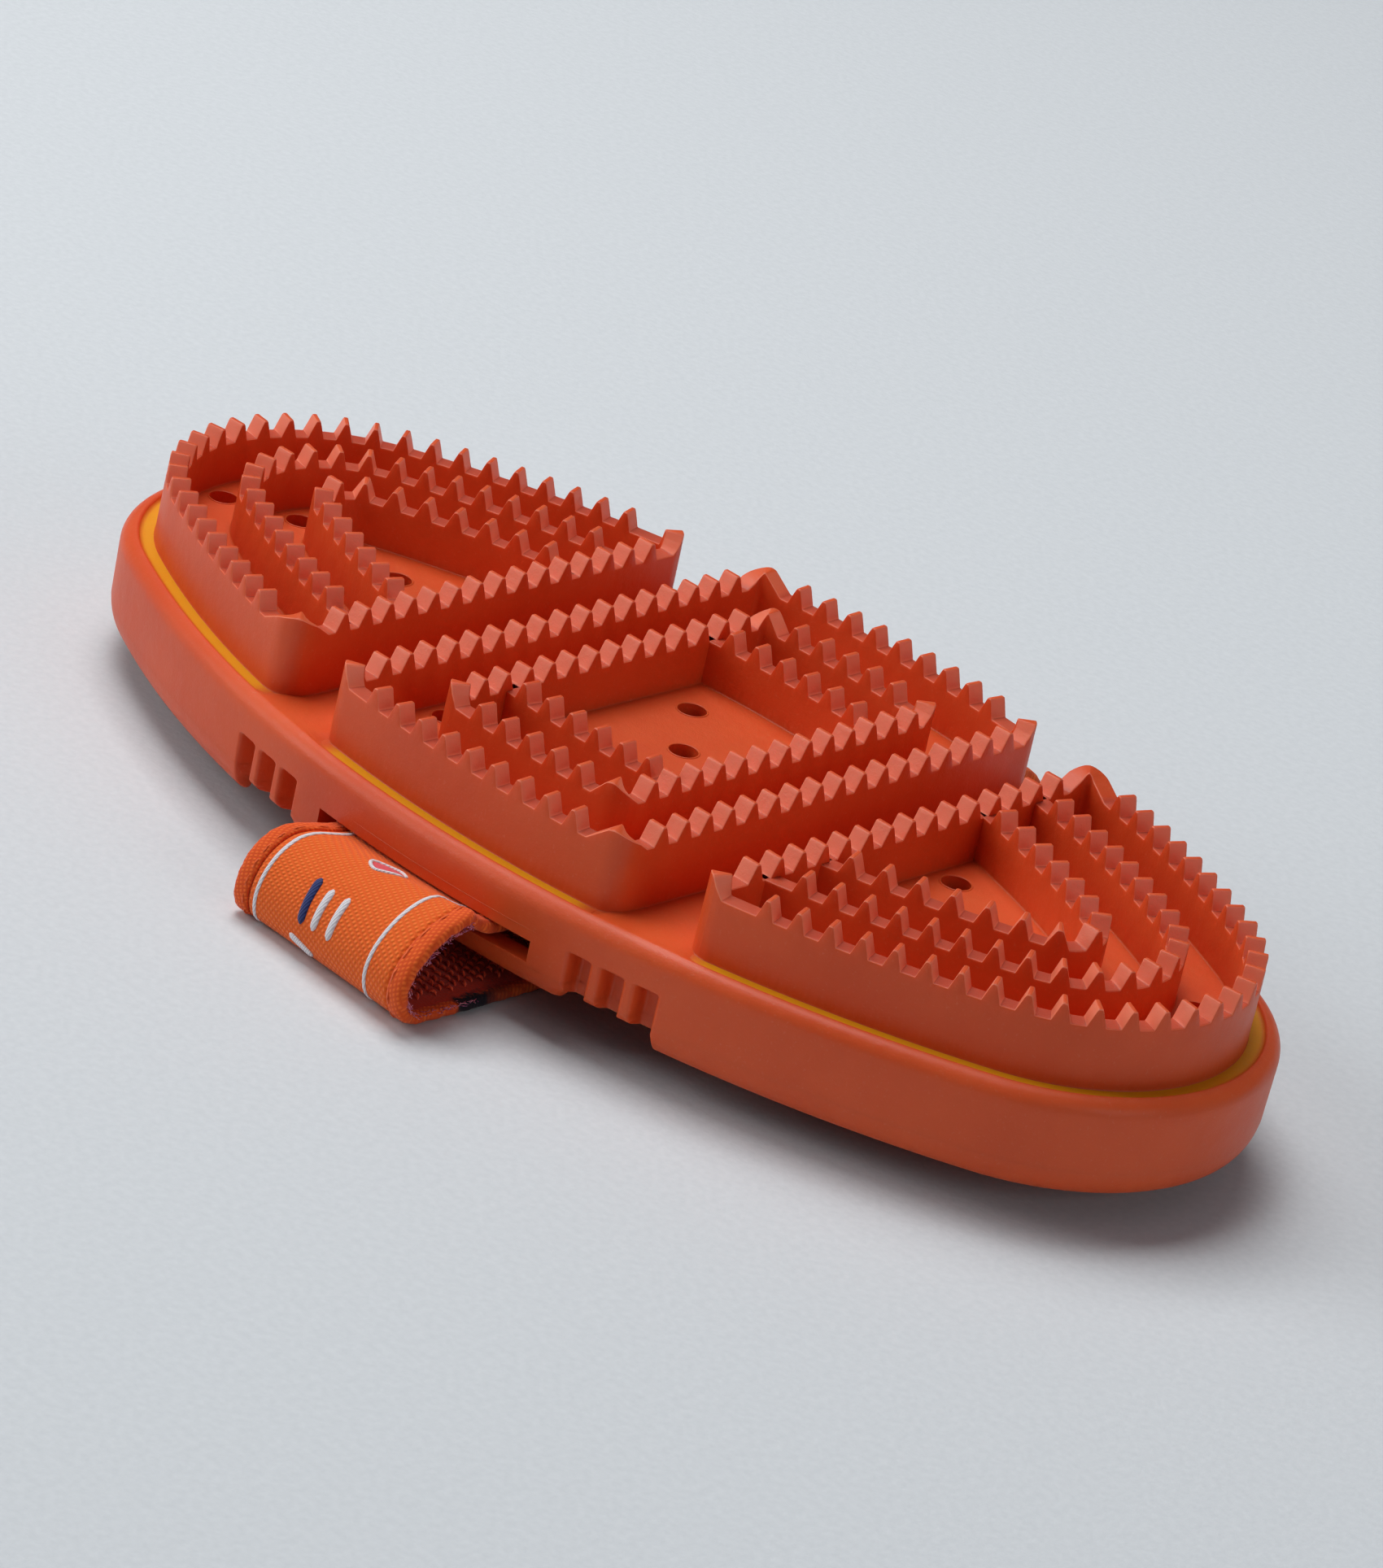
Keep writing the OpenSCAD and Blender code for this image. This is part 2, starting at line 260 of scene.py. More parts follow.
def straight(x, y0, y1, normal_x):
    count = max(3, int(abs(y1 - y0) / SAMPLE))
    y = np.linspace(y0, y1, count)
    return np.stack([np.full(count, x), y], 1), np.repeat([[normal_x, 0.0]], count, 0)


class Path:
    """A line in plan with its outward normals and the distance along it."""

    def __init__(self, parts, closed):
        self.points = np.concatenate([p for p, _ in parts])
        self.normals = np.concatenate([n for _, n in parts])
        moved = np.linalg.norm(np.diff(self.points, axis=0), axis=1) > 1e-6
        keep = np.concatenate([[True], moved])
        self.points = self.points[keep]
        self.normals = self.normals[keep]
        steps = np.linalg.norm(np.diff(self.points, axis=0), axis=1)
        self.s = np.concatenate([[0.0], np.cumsum(steps)])
        self.length = self.s[-1]
        self.closed = closed

    def at(self, s):
        s = np.mod(s, self.length) if self.closed else s
        point = np.stack([np.interp(s, self.s, self.points[:, k]) for k in (0, 1)], 1)
        normal = np.stack([np.interp(s, self.s, self.normals[:, k]) for k in (0, 1)], 1)
        return point, normal / np.linalg.norm(normal, axis=1)[:, None]

    def nearest(self, x, y):
        return self.s[np.argmin(np.hypot(self.points[:, 0] - x, self.points[:, 1] - y))]


def fillet(radius, x, inside):
    """Centre of the rounded corner between a cross wall at x and a long arc, and its angle to the arc."""
    cx = x + inside * CORNER_R
    cy = math.sqrt((radius - CORNER_R) ** 2 - cx ** 2) - SIDE_Y
    return cx, cy, math.atan2(cy + SIDE_Y, cx)


def corner_point(cx, cy, angle):
    return cx + CORNER_R * math.cos(angle), cy + CORNER_R * math.sin(angle)


def end_loop():
    """Outer ridge of the right-hand end group, and its corners as (x, y, whether the peak is wide)."""
    cx, cy, meet = fillet(SIDE_R, END_X, 1)
    turn = 2 * math.pi
    path = Path([
        arc(TIP_X, 0, TIP_R, 0, JOIN),
        arc(0, -SIDE_Y, SIDE_R, JOIN, meet),
        arc(cx, cy, CORNER_R, meet, math.pi),
        straight(END_X, cy, -cy, -1.0),
        arc(cx, -cy, CORNER_R, math.pi, turn - meet),
        arc(0, SIDE_Y, SIDE_R, turn - meet, turn - JOIN),
        arc(TIP_X, 0, TIP_R, turn - JOIN, turn),
    ], closed=True)
    corners = [(*corner_point(cx, s * cy, s * (meet + math.pi) / 2), s > 0) for s in (1, -1)]
    return path, corners


def end_arch(offset):
    """An open arch of the right-hand end group, from the near end of the cross wall to the far one."""
    radius = SIDE_R + offset
    meet = math.acos(END_X / radius)
    turn = 2 * math.pi
    return Path([
        arc(0, SIDE_Y, radius, turn - meet, turn - JOIN),
        arc(TIP_X, 0, TIP_R + offset, -JOIN, JOIN),
        arc(0, -SIDE_Y, radius, JOIN, meet),
    ], closed=False)


def ring_path(x, offset):
    """A ring of the middle group, and its corners as (x, y, whether the peak is wide)."""
    radius = SIDE_R + offset
    cx, cy, meet = fillet(radius, x, -1)
    turn = 2 * math.pi
    half = math.pi
    path = Path([
        straight(x, 0, cy, 1.0),
        arc(cx, cy, CORNER_R, 0, meet),
        arc(0, -SIDE_Y, radius, meet, half - meet),
        arc(-cx, cy, CORNER_R, half - meet, half),
        straight(-x, cy, -cy, -1.0),
        arc(-cx, -cy, CORNER_R, half, half + meet),
        arc(0, SIDE_Y, radius, half + meet, turn - meet),
        arc(cx, -cy, CORNER_R, turn - meet, turn),
        straight(x, -cy, 0, 1.0),
    ], closed=True)
    px, py = corner_point(cx, cy, meet / 2)
    corners = [(sx * px, sy * py, sx != sy) for sx in (1, -1) for sy in (1, -1)]
    return path, corners


def inner_wall_path(side):
    radius = SIDE_R - INNER_STEP
    meet = math.acos(RING_X / radius)
    start = meet if side > 0 else math.pi + meet
    return Path([arc(0, -side * SIDE_Y, radius, start, start + math.pi - 2 * meet)], closed=False)


# ---- Toothed ridges ----

def long_wall_y(x, offset):
    return math.sqrt((SIDE_R + offset) ** 2 - x * x) - SIDE_Y


def arch_length(offset):
    radius = SIDE_R + offset
    return (TIP_R + offset) * JOIN + radius * (math.acos((END_X + HALF_T) / radius) - JOIN)


def arch_pitch(n):
    return (arch_length(-n * ARCH_STEP) - ARCH_LAND[n]) / ARCH_TEETH[n]


def tooth_height(distance, base, tip):
    """Height of a tooth at a distance from its middle: flat to tip, and down to the valley at base."""
    flank = TOOTH_H * (base - distance) / (base - tip)
    return smooth_max(smooth_min(flank, TOOTH_H, TIP_ROUND), 0.0, VALLEY_ROUND)


def teeth_along(path, centres, corners, pitches):
    """(distance along, base before, base after, half the flat tip) of each tooth and corner."""
    teeth = []
    for s, pitch in zip(centres, pitches):
        base = (pitch - (VALLEY if pitch == PITCH else LONG_VALLEY)) / 2
        teeth.append((s, base, base, TIP_HALF))
    land = PITCH / 2 - VALLEY / 2 + PEAK_VALLEY
    in_ring = len(corners) == 4
    for x, y, wide in corners:
        s = path.nearest(x, y)
        if wide:
            s -= PEAK_SHIFT if in_ring else 0.0
            gaps = [(m - s) % path.length for m in centres]
            teeth.append((s, path.length - max(gaps) - land, min(gaps) - land, TIP_HALF))
        else:
            teeth.append((s, BLOCK_BASE, BLOCK_BASE, BLOCK_TIP_HALF))
    return teeth


def ridge_stations(path, teeth):
    """Distances along a ridge at which it has a section, and its height above the valleys there."""
    stations = []
    for s, before, after, tip in teeth:
        near = np.array([0, tip - 0.18, tip - 0.08, tip + 0.02, tip + 0.17])
        for sign, base in ((-1, before), (1, after)):
            foot = base + np.array([-0.3, -0.12, 0.0, 0.12, 0.3])
            middle = np.arange(tip + 0.6, base - 0.4, 0.4)
            stations.extend(s + sign * np.concatenate([near, middle, foot]))
    stations.extend(np.arange(0, path.length, 1.0))
    stations = np.array(stations)
    if path.closed:
        stations = np.mod(stations, path.length)
    else:
        stations = stations[(stations > 0) & (stations < path.length)]
        stations = np.concatenate([[0.0], stations, [path.length]])
    stations = np.sort(stations)
    stations = stations[np.concatenate([[True], np.diff(stations) > 0.04])]
    height = np.zeros(len(stations))
    for s, before, after, tip in teeth:
        away = stations - s
        if path.closed:
            away = np.mod(away + path.length / 2, path.length) - path.length / 2
        base = np.where(away < 0, before, after)
        height = np.maximum(height, tooth_height(np.abs(away), base, tip))
    return stations, height


def ridge_section(top, floor_out, floor_in):
    """Offsets and heights of a wall's section, from its outer foot over its top to its inner foot."""
    points = []
    for sign, floor in ((1, floor_out), (-1, floor_in)):
        side = []
        for turn in (0, 30, 60, 90):
            a = math.radians(turn)
            side.append((HALF_T + DRAFT + FOOT_R * (1 - math.sin(a)), floor + FOOT_R * (1 - math.cos(a))))
        valley = RIDGE_Z - TOOTH_H
        for share in (0.35, 0.7, 1.0):
            z = floor + FOOT_R + (valley - 0.35 - floor - FOOT_R) * share
            side.append((HALF_T + DRAFT * (RIDGE_Z - z) / (RIDGE_Z - floor), z))
        for turn in (0, 30, 60, 90):
            a = math.radians(turn)
            side.append((HALF_T - EDGE_R * (1 - math.cos(a)), top - EDGE_R * (1 - math.sin(a))))
        side.insert(0, (HALF_T + DRAFT + FOOT_R, floor - 0.15))
        if sign < 0:
            side.reverse()
        points.extend((sign * o, z) for o, z in side)
    return points


def make_ridge(name, path, teeth, floors, rubber, replaced, turned=False):
    stations, height = ridge_stations(path, teeth)
    centre, normal = path.at(stations)
    points = []
    for p, n, h in zip(centre, normal, height):
        for offset, z in ridge_section(RIDGE_Z - TOOTH_H + h, *floors):
            points.append((p[0] + n[0] * offset, p[1] + n[1] * offset, z))
    points = np.array(points)
    if turned:
        points[:, :2] *= -1
    faces = tube_faces(len(stations), len(points) // len(stations), path.closed)
    piece = make_mesh(name, points, faces, rubber, "comb", sharp_deg=52)
    crisp_normals(piece)
    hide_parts(*replaced)


def cross_teeth(path, x, count):
    return [path.nearest(x, (k - (count - 1) / 2) * PITCH) for k in range(count)]


def long_teeth(path, side, offset, count):
    xs = [(k - (count - 1) / 2) * LONG_PITCH for k in range(count)]
    return [path.nearest(x, side * long_wall_y(x, offset)) for x in xs]


def make_end_ridges(rubber):
    loop, corners = end_loop()
    pitch = arch_pitch(0)
    arch = [k * pitch for k in range(ARCH_TEETH[0] + 1)]
    arch += [loop.length - k * pitch for k in range(1, ARCH_TEETH[0] + 1)]
    cross = cross_teeth(loop, END_X, 15)
    teeth = teeth_along(loop, arch + cross, corners, [pitch] * len(arch) + [PITCH] * len(cross))
    ends = (("left", True), ("right", False))
    for end, turned in ends:
        nodes = (end + "_outer_arch", end + "_cross_wall")
        make_ridge(end + "_outer_ridge", loop, teeth, (PLATE_Z, PAD_Z), rubber, nodes, turned)
    for n, place in ((1, "middle"), (2, "inner")):
        path = end_arch(-n * ARCH_STEP)
        pitch = arch_pitch(n)
        centres = [path.length / 2 + k * pitch for k in range(-ARCH_TEETH[n], ARCH_TEETH[n] + 1)]
        teeth = teeth_along(path, centres, [], [pitch] * len(centres))
        for end, turned in ends:
            node = f"{end}_{place}_arch"
            make_ridge(f"{end}_{place}_ridge", path, teeth, (PAD_Z, PAD_Z), rubber, (node,), turned)


def make_middle_ridges(rubber):
    rings = (
        ("outer", MID_X, 0.0, 17, 9, PLATE_Z),
        ("inner", RING_X, -RING_STEP, 13, 5, PAD_Z),
    )
    for place, x, offset, cross_count, long_count, floor in rings:
        path, corners = ring_path(x, offset)
        cross = cross_teeth(path, x, cross_count) + cross_teeth(path, -x, cross_count)
        sides = long_teeth(path, 1, offset, long_count) + long_teeth(path, -1, offset, long_count)
        pitches = [PITCH] * len(cross) + [LONG_PITCH] * len(sides)
        teeth = teeth_along(path, cross + sides, corners, pitches)
        node = f"middle_{place}_ring"
        make_ridge(f"middle_{place}_ridge", path, teeth, (floor, PAD_Z), rubber, (node,))
    for place, side in (("far", 1), ("near", -1)):
        path = inner_wall_path(side)
        centres = long_teeth(path, side, -INNER_STEP, 6)
        teeth = teeth_along(path, centres, [], [LONG_PITCH] * len(centres))
        node = place + "_inner_wall"
        make_ridge(place + "_inner_ridge", path, teeth, (PAD_Z, PAD_Z), rubber, (node,))


# ---- Rim and skirt ----

def rim_columns():
    """Foot points at offset 0, outward normals, and the side (1 far, -1 near, 0 tip) of each column."""
    outer = SIDE_R + RIM_OUT
    reach = outer * math.cos(JOIN)
    xs = list(np.arange(-reach, reach, 1.0)) + [-reach, reach]
    xs += [s * x for s in (-1, 1) for x in np.arange(22.8, 37.4, 0.14)]
    xs += [s * (SLOT_X + d) for s in (-1, 1) for d in (-0.4, 0, 0.25, 0.5)]
    xs = np.sort(np.array(xs))
    xs = xs[(xs >= -reach) & (xs <= reach)]
    keep = [xs[0]]
    for x in xs[1:]:
        slot_edge = abs(abs(x) - SLOT_X) < 1e-9
        if x - keep[-1] > 0.1 or slot_edge:
            if slot_edge and x - keep[-1] < 0.11:
                keep.pop()
            keep.append(x)
    side_angles = np.arcsin(np.array(keep) / outer)
    tip_angles = np.linspace(JOIN, -JOIN, 64)[1:-1]
    foot, normal, side = [], [], []
    for a in side_angles:
        foot.append((SIDE_R * math.sin(a), SIDE_R * math.cos(a) - SIDE_Y))
        normal.append((math.sin(a), math.cos(a)))
        side.append(1)
    for a in tip_angles:
        foot.append((TIP_X + TIP_R * math.cos(a), TIP_R * math.sin(a)))
        normal.append((math.cos(a), math.sin(a)))
        side.append(0)
    half = len(foot)
    for k in range(half):
        foot.append((-foot[k][0], -foot[k][1]))
        normal.append((-normal[k][0], -normal[k][1]))
        side.append(-side[k])
    return np.array(foot), np.array(normal), np.array(side)


def rim_rows():
    """Section of the rim as (kind, offset, height above the plate), from the dish over to the back."""
    rows = [("dish", e, 0.0) for e in (-7, -6, -5, -4, -3, -2, -1, 0, 0.8, 1.5, 2.1, 2.7)]
    groove = ((3.05, 0.0), (3.22, 0.06), (3.34, 0.2), (3.42, 0.38), (3.55, 0.52), (3.75, 0.575))
    rows += [("groove", e, z) for e, z in groove]
    centre_e = RIM_OUT - LIP_R
    centre_z = LIP_H - LIP_R
    for a in (76, 68, 60, 52, 44, 36, 28, 20, 12, 4):
        t = math.radians(a)
        rows.append(("out", centre_e + LIP_R * math.cos(t), centre_z + LIP_R * math.sin(t)))
    slot = [SLOT_TOP + 0.5, SLOT_TOP + 0.25, SLOT_TOP, 10.5, 9.5]
    slot += [SLOT_BOTTOM, SLOT_BOTTOM - 0.25, SLOT_BOTTOM - 0.5]
    slot = [z - PLATE_Z for z in slot]
    flute = [-4.15, -4.3, -4.42, -4.54, -4.66, -4.8, -4.95]
    for z in sorted([-2.2, -2.8, -3.4, -3.8] + flute + slot, reverse=True):
        rows.append(("out", RIM_OUT - SKIRT_DRAFT * (-z - 1.6), z))
    low = SKIRT_Z - PLATE_Z
    for a in range(4, 91, 7):
        t = math.radians(a)
        e = BULGE_IN + (RIM_OUT - 0.16 - BULGE_IN) * math.cos(t)
        rows.append(("out", e, low + BULGE_H - BULGE_H * math.sin(t)))
    rows.append(("in", 2.6, low + 0.08))
    rows.append(("in", RIM_IN, low + 0.3))
    inner = sorted([low + 1.5, low + 3.0, -4.6, -4.0] + slot)
    rows += [("in", RIM_IN, z) for z in inner]
    back = PLATE_BACK - PLATE_Z - 0.03
    for a in (0, 30, 60, 90):
        t = math.radians(a)
        rows.append(("in", RIM_IN - BACK_R + BACK_R * math.cos(t), back - BACK_R + BACK_R * math.sin(t)))
    rows.append(("back", 0.4, back))
    rows.append(("back", 0.4, -1.2))
    rows.append(("back", -7.0, -1.2))
    return rows


def dish_amount(x, side):
    """How far the floor between two ridge groups runs up into the rim: 1 in a channel, 0 along a groove."""
    if side == 0:
        return 0.0
    x = abs(x)
    return float(smooth_step(*CHANNEL_BEGINS, x) * (1 - smooth_step(*CHANNEL_ENDS, x)))


def dish_rise(e):
    """Height that the floor of a channel has reached at an offset, on its way up to the lip."""
    return 0.02 + LIP_H * (max(0.0, e - DISH_START) / DISH_RUN) ** DISH_POWER


def flute_cut(x, z):
    """Offset that the flutes cut the outer face back to, or a large number away from them."""
    cut = 99.0
    for f in FLUTES:
        away = abs(abs(x) - f)
        if away < FLUTE_HALF:
            side = max(0.0, away - FLUTE_HALF + FLUTE_ROUND) / FLUTE_ROUND
            depth = FLUTE_DEPTH - (FLUTE_DEPTH - RIB_R) * (1 - math.sqrt(1 - side ** 2))
            cut = min(cut, RIM_OUT - depth)
        elif away < FLUTE_HALF + RIB_R:
            cut = min(cut, RIM_OUT - RIB_R + math.sqrt(RIB_R ** 2 - (FLUTE_HALF + RIB_R - away) ** 2))
    share = float(smooth_step(FLUTE_TOP - PLATE_Z + 0.25, FLUTE_TOP - PLATE_Z - 0.25, z)) if cut < 99 else 0.0
    return cut, share


def edge_lift(x, side):
    """How far the skirt's lower edge stands above the floor in the middle of a long side."""
    if side == 0:
        return 0.0
    x = abs(x)
    inside = 1 - smooth_step(*FLUTES_END, x)
    return float(inside * (EDGE_LIFT + FLUTE_LIFT * smooth_step(*FLUTES_BEGIN, x)))


def make_rim(rubber):
    foot, normal, side = rim_columns()
    rows = rim_rows()
    points = []
    for p, n, s in zip(foot, normal, side):
        dish = dish_amount(p[0], s)
        x_out = p[0] + n[0] * RIM_OUT
        lift = edge_lift(x_out, s)
        for kind, e, z in rows:
            if z < LIFT_BELOW - PLATE_Z:
                z = z + lift * (LIFT_BELOW - PLATE_Z - z) / (LIFT_BELOW - SKIRT_Z)
            if kind == "dish":
                z = dish * dish_rise(e) - (1 - dish) * GROOVE_SINK * (e < 2.5)
            elif kind == "groove":
                z = dish * min(dish_rise(e), LIP_H - 0.01) + (1 - dish) * z
            elif kind == "out" and s and z < -3.5:
                cut, share = flute_cut(x_out, z)
                if e > cut:
                    e = e + (cut - e) * share
            points.append((p[0] + n[0] * e, p[1] + n[1] * e, PLATE_Z + z))
    count = len(rows)
    faces = cut_slots(tube_faces(len(foot), count, closed=True), rows, foot, normal, side)
    piece = make_mesh("rim_and_skirt", points, faces, rubber, "comb", sharp_deg=60)
    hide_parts("rim_skirt")


def cut_slots(faces, rows, foot, normal, side):
    """Opens the two strap slots through the skirt and lines them."""
    count = len(rows)
    places = [(kind, round(z, 6)) for kind, _, z in rows]
    edges = [(kind, round(z - PLATE_Z, 6)) for kind in ("out", "in") for z in (SLOT_TOP, SLOT_BOTTOM)]
    out_top, out_bottom, in_top, in_bottom = (places.index(edge) for edge in edges)
    across = np.abs(foot[:, 0] + normal[:, 0] * RIM_OUT) < SLOT_X + 1e-6
    slots = [np.flatnonzero(across & (side == s)).tolist() for s in (1, -1)]
    opened = {c for columns in slots for c in columns[:-1]}
    kept = []
    for face in faces:
        c, r = divmod(face[0], count)
        if not (c in opened and (out_top <= r < out_bottom or in_bottom <= r < in_top)):
            kept.append(face)
    for columns in slots:
        for a, b in zip(columns[:-1], columns[1:]):
            for o, i in ((out_top, in_top), (out_bottom, in_bottom)):
                kept.append((a * count + o, b * count + o, b * count + i, a * count + i))
        for c in (columns[0], columns[-1]):
            for o, i in zip(range(out_top, out_bottom), range(in_top, in_bottom, -1)):
                kept.append((c * count + o, c * count + o + 1, c * count + i - 1, c * count + i))
    return kept


# ---- Groove bands and vents ----

def run_of_columns(count, test):
    """The one run of neighbouring columns for which test is true, which may pass the last column."""
    start = next(c for c in range(count) if not test(c))
    return [c % count for c in range(start, start + count) if test(c % count)]


def make_bands(material):
    foot, normal, side = rim_columns()
    bands = (
        ("left", lambda c: foot[c][0] < -END_BAND_X),
        ("right", lambda c: foot[c][0] > END_BAND_X),
        ("near", lambda c: side[c] < 0 and abs(foot[c][0]) < SIDE_BAND_X),
        ("far", lambda c: side[c] > 0 and abs(foot[c][0]) < SIDE_BAND_X),
    )
    section = ((1.1, 0.05), (1.5, 0.045), (1.9, 0.04), (2.4, 0.045), (2.8, 0.06), (3.1, 0.1), (3.28, 0.19),
               (3.36, 0.3), (3.36, -0.2), (1.1, -0.2))
    for place, test in bands:
        run = run_of_columns(len(foot), test)
        points = []
        tint = []
        steps = np.linalg.norm(np.diff(foot[run], axis=0), axis=1)
        travelled = np.concatenate([[0], np.cumsum(steps)])
        for c, along in zip(run, travelled):
            fade = smooth_step(0, BAND_FADE, along) * smooth_step(0, BAND_FADE, travelled[-1] - along)
            for e, z in section:
                points.append((*(foot[c] + normal[c] * e), PLATE_Z + z))
                tint.append(float(fade * (1 - 0.75 * smooth_step(2.7, 3.35, e))))
        faces = tube_faces(len(run), len(section))
        name = place + "_groove_floor"
        piece = make_mesh(name, points, faces, material, "comb", sharp_deg=50)
        add_attribute(piece, "tint", "FLOAT", tint)
        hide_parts(place + "_groove_band")


def make_vent_rims(rubber):
    """A fine bead round the mouth of each vent hole."""
    around, section = 40, 8
    rings = []
    for x, y in VENTS:
        points = []
        for a in circle(around):
            for b in circle(section):
                r = VENT_R + 0.12 + VENT_BEAD * math.cos(b)
                z = PAD_Z - 0.02 + VENT_BEAD * math.sin(b)
                points.append((x + r * math.cos(a), y + r * math.sin(a), z))
        rings.append((points, [], tube_faces(around, section, closed=True)))
    points, _, faces = merge(rings)
    make_mesh("vent_rims", points, faces, rubber, "comb")


def make_mould_line(rubber):
    """A faint raised line along the skirt, over the near slot."""
    sides = 6
    xs = np.linspace(-12, 19, 60)
    e = RIM_OUT - 0.05
    points = []
    for i, x in enumerate(xs):
        size = 0.07 * min(1.0, 0.15 + min(i, len(xs) - 1 - i) / 6)
        a = math.asin(x / (SIDE_R + e))
        for turn in circle(sides):
            r = SIDE_R + e + size * math.cos(turn)
            points.append((r * math.sin(a), SIDE_Y - r * math.cos(a), PLATE_Z - 4.2 + size * math.sin(turn)))
    make_mesh("mould_line", points, tube_faces(len(xs), sides), rubber, "comb")


# ---- Strap: one endless band, mapped from (x, distance along it, height off its outer side) ----

STRAP_LOW_X, STRAP_HIGH_X = -17.9, 14.1
LEFT_SEAM = -15.3
RIGHT_SEAM = 11.3
LEFT_STRIPE = -14.0
RIGHT_STRIPE = 7.0
FLOOR_GAP = 0.03
FACE_T = 0.9
LINING_T = 0.95
LOOPS_OUT = -FACE_T - LINING_T
EDGE_T = 1.45
STATION_STEP = 0.9
STITCH_STEP = 2.7

# The red mark: its middle as (x, distance along), its half sizes, and how pointed it is
LOZENGE = (-2.6, 48.6)
LOZENGE_X = 2.7
LOZENGE_S = 1.7
LOZENGE_POWER = 1.4

# The painted shadow on the strap's right edge, where it runs under the comb: distances along the band where
# it begins and ends, and its inner edge
SHADOW_S = 75.4
SHADOW_END = 80.5
SHADOW_X = 13.4

# The band is gathered at the near slot and bows out at its left edge below it: distances along it, and shifts
GATHER_BEGINS = (30, 40)
GATHER_ENDS = (45.5, 52)
LEFT_DRAWN = 1.8
RIGHT_DRAWN = -1.3
SPREAD_BEGINS = (48, 54)
SPREAD_ENDS = (66, 74)
LEFT_SPREAD = 0.4

# Distance along the band at which it passes through the near slot, and how far off the loops keep
SLOT_S = 43.0
SLOT_CLEAR = 5.0
LOOP_ROW_STEP = 1.35
LOOP_STEP = 1.3

# Loose fibres: where along the band they are, and how many of them are on its right edge
FIBRES_S = (47, 78)
RIGHT_SHARE = 0.72

# Outer side of the near loop at the strap's left and right edges, as (y, z) from the comb out and down
SLOT_RUN_Z = 10.75
FLOOR_RUN_Z = 0.3
LEFT_LOOP = (
    (-36, SLOT_RUN_Z), (-40, SLOT_RUN_Z), (-43.8, 10.8), (-46.8, 11.25), (-50, 11.2), (-53.9, 9.5),
    (-56.1, 6.7), (-56.7, 3.4), (-55.3, 0.65), (-50.5, FLOOR_RUN_Z), (-38, FLOOR_RUN_Z),
)
RIGHT_LOOP = (
    (-36, SLOT_RUN_Z), (-40, SLOT_RUN_Z), (-43.8, 10.85), (-46.9, 12.4), (-49.4, 13.9), (-54.4, 12.4),
    (-58.3, 8.9), (-59.5, 4.7), (-57.2, 0.95), (-51, 0.35), (-38, FLOOR_RUN_Z),
)
UPPER_RUN = ((0, SLOT_RUN_Z), (-12, SLOT_RUN_Z), (-24, SLOT_RUN_Z))
LOWER_RUN = ((-26, FLOOR_RUN_Z), (-13, FLOOR_RUN_Z), (0, FLOOR_RUN_Z))


def closed_curve(loop, per=30):
    """A smooth closed line through the near loop and its mirror image, from the middle of the comb on."""
    near = list(UPPER_RUN) + list(loop) + list(LOWER_RUN)
    far = [(-y, z) for y, z in reversed(near[1:-1])]
    p = np.array(near + far, float)
    t = np.linspace(0, 1, per, endpoint=False)[:, None]
    spans = []
    for i in range(len(p)):
        a, b, c, d = p[i - 1], p[i], p[(i + 1) % len(p)], p[(i + 2) % len(p)]
        spans.append(0.5 * (2 * b + (c - a) * t + (2 * a - 5 * b + 4 * c - d) * t ** 2
                            + (3 * b - a - 3 * c + d) * t ** 3))
    return np.concatenate(spans)


LEFT_CURVE = closed_curve(LEFT_LOOP)
RIGHT_CURVE = closed_curve(RIGHT_LOOP)
MEAN_CURVE = (LEFT_CURVE + RIGHT_CURVE) / 2
MEAN_STEPS = np.linalg.norm(np.diff(np.vstack([MEAN_CURVE, MEAN_CURVE[:1]]), axis=0), axis=1)
BAND_S = np.concatenate([[0], np.cumsum(MEAN_STEPS)])
BAND_LENGTH = BAND_S[-1]


def band_outer(x, s):
    """Points of the strap's outer side."""
    x, s = np.broadcast_arrays(np.asarray(x, float), np.asarray(s, float))
    share = np.clip((x - STRAP_LOW_X) / (STRAP_HIGH_X - STRAP_LOW_X), 0, 1) ** 1.25
    s = np.mod(s, BAND_LENGTH)
    gathered = smooth_step(*GATHER_BEGINS, s) * (1 - smooth_step(*GATHER_ENDS, s))
    drawn = gathered * (LEFT_DRAWN + (RIGHT_DRAWN - LEFT_DRAWN) * smooth_step(4, STRAP_HIGH_X, x))
    bowed = smooth_step(*SPREAD_BEGINS, s) * (1 - smooth_step(*SPREAD_ENDS, s))
    spread = LEFT_SPREAD * bowed * smooth_step(LEFT_STRIPE, STRAP_LOW_X, x)
    yz = []
    for k in (0, 1):
        left = np.interp(s, BAND_S, np.append(LEFT_CURVE[:, k], LEFT_CURVE[0, k]))
        right = np.interp(s, BAND_S, np.append(RIGHT_CURVE[:, k], RIGHT_CURVE[0, k]))
        yz.append(left * (1 - share) + right * share)
    return np.stack([x + drawn - spread, yz[0], yz[1]], -1)


def band(x, s, out):
    """Points at a height off the strap's outer side."""
    step = 0.35
    along = band_outer(x, np.asarray(s) + step) - band_outer(x, np.asarray(s) - step)
    across = band_outer(np.asarray(x) + step, s) - band_outer(np.asarray(x) - step, s)
    normal = np.cross(along, across)
    normal /= np.linalg.norm(normal, axis=-1)[..., None]
    return band_outer(x, s) + normal * np.asarray(out, float)[..., None]


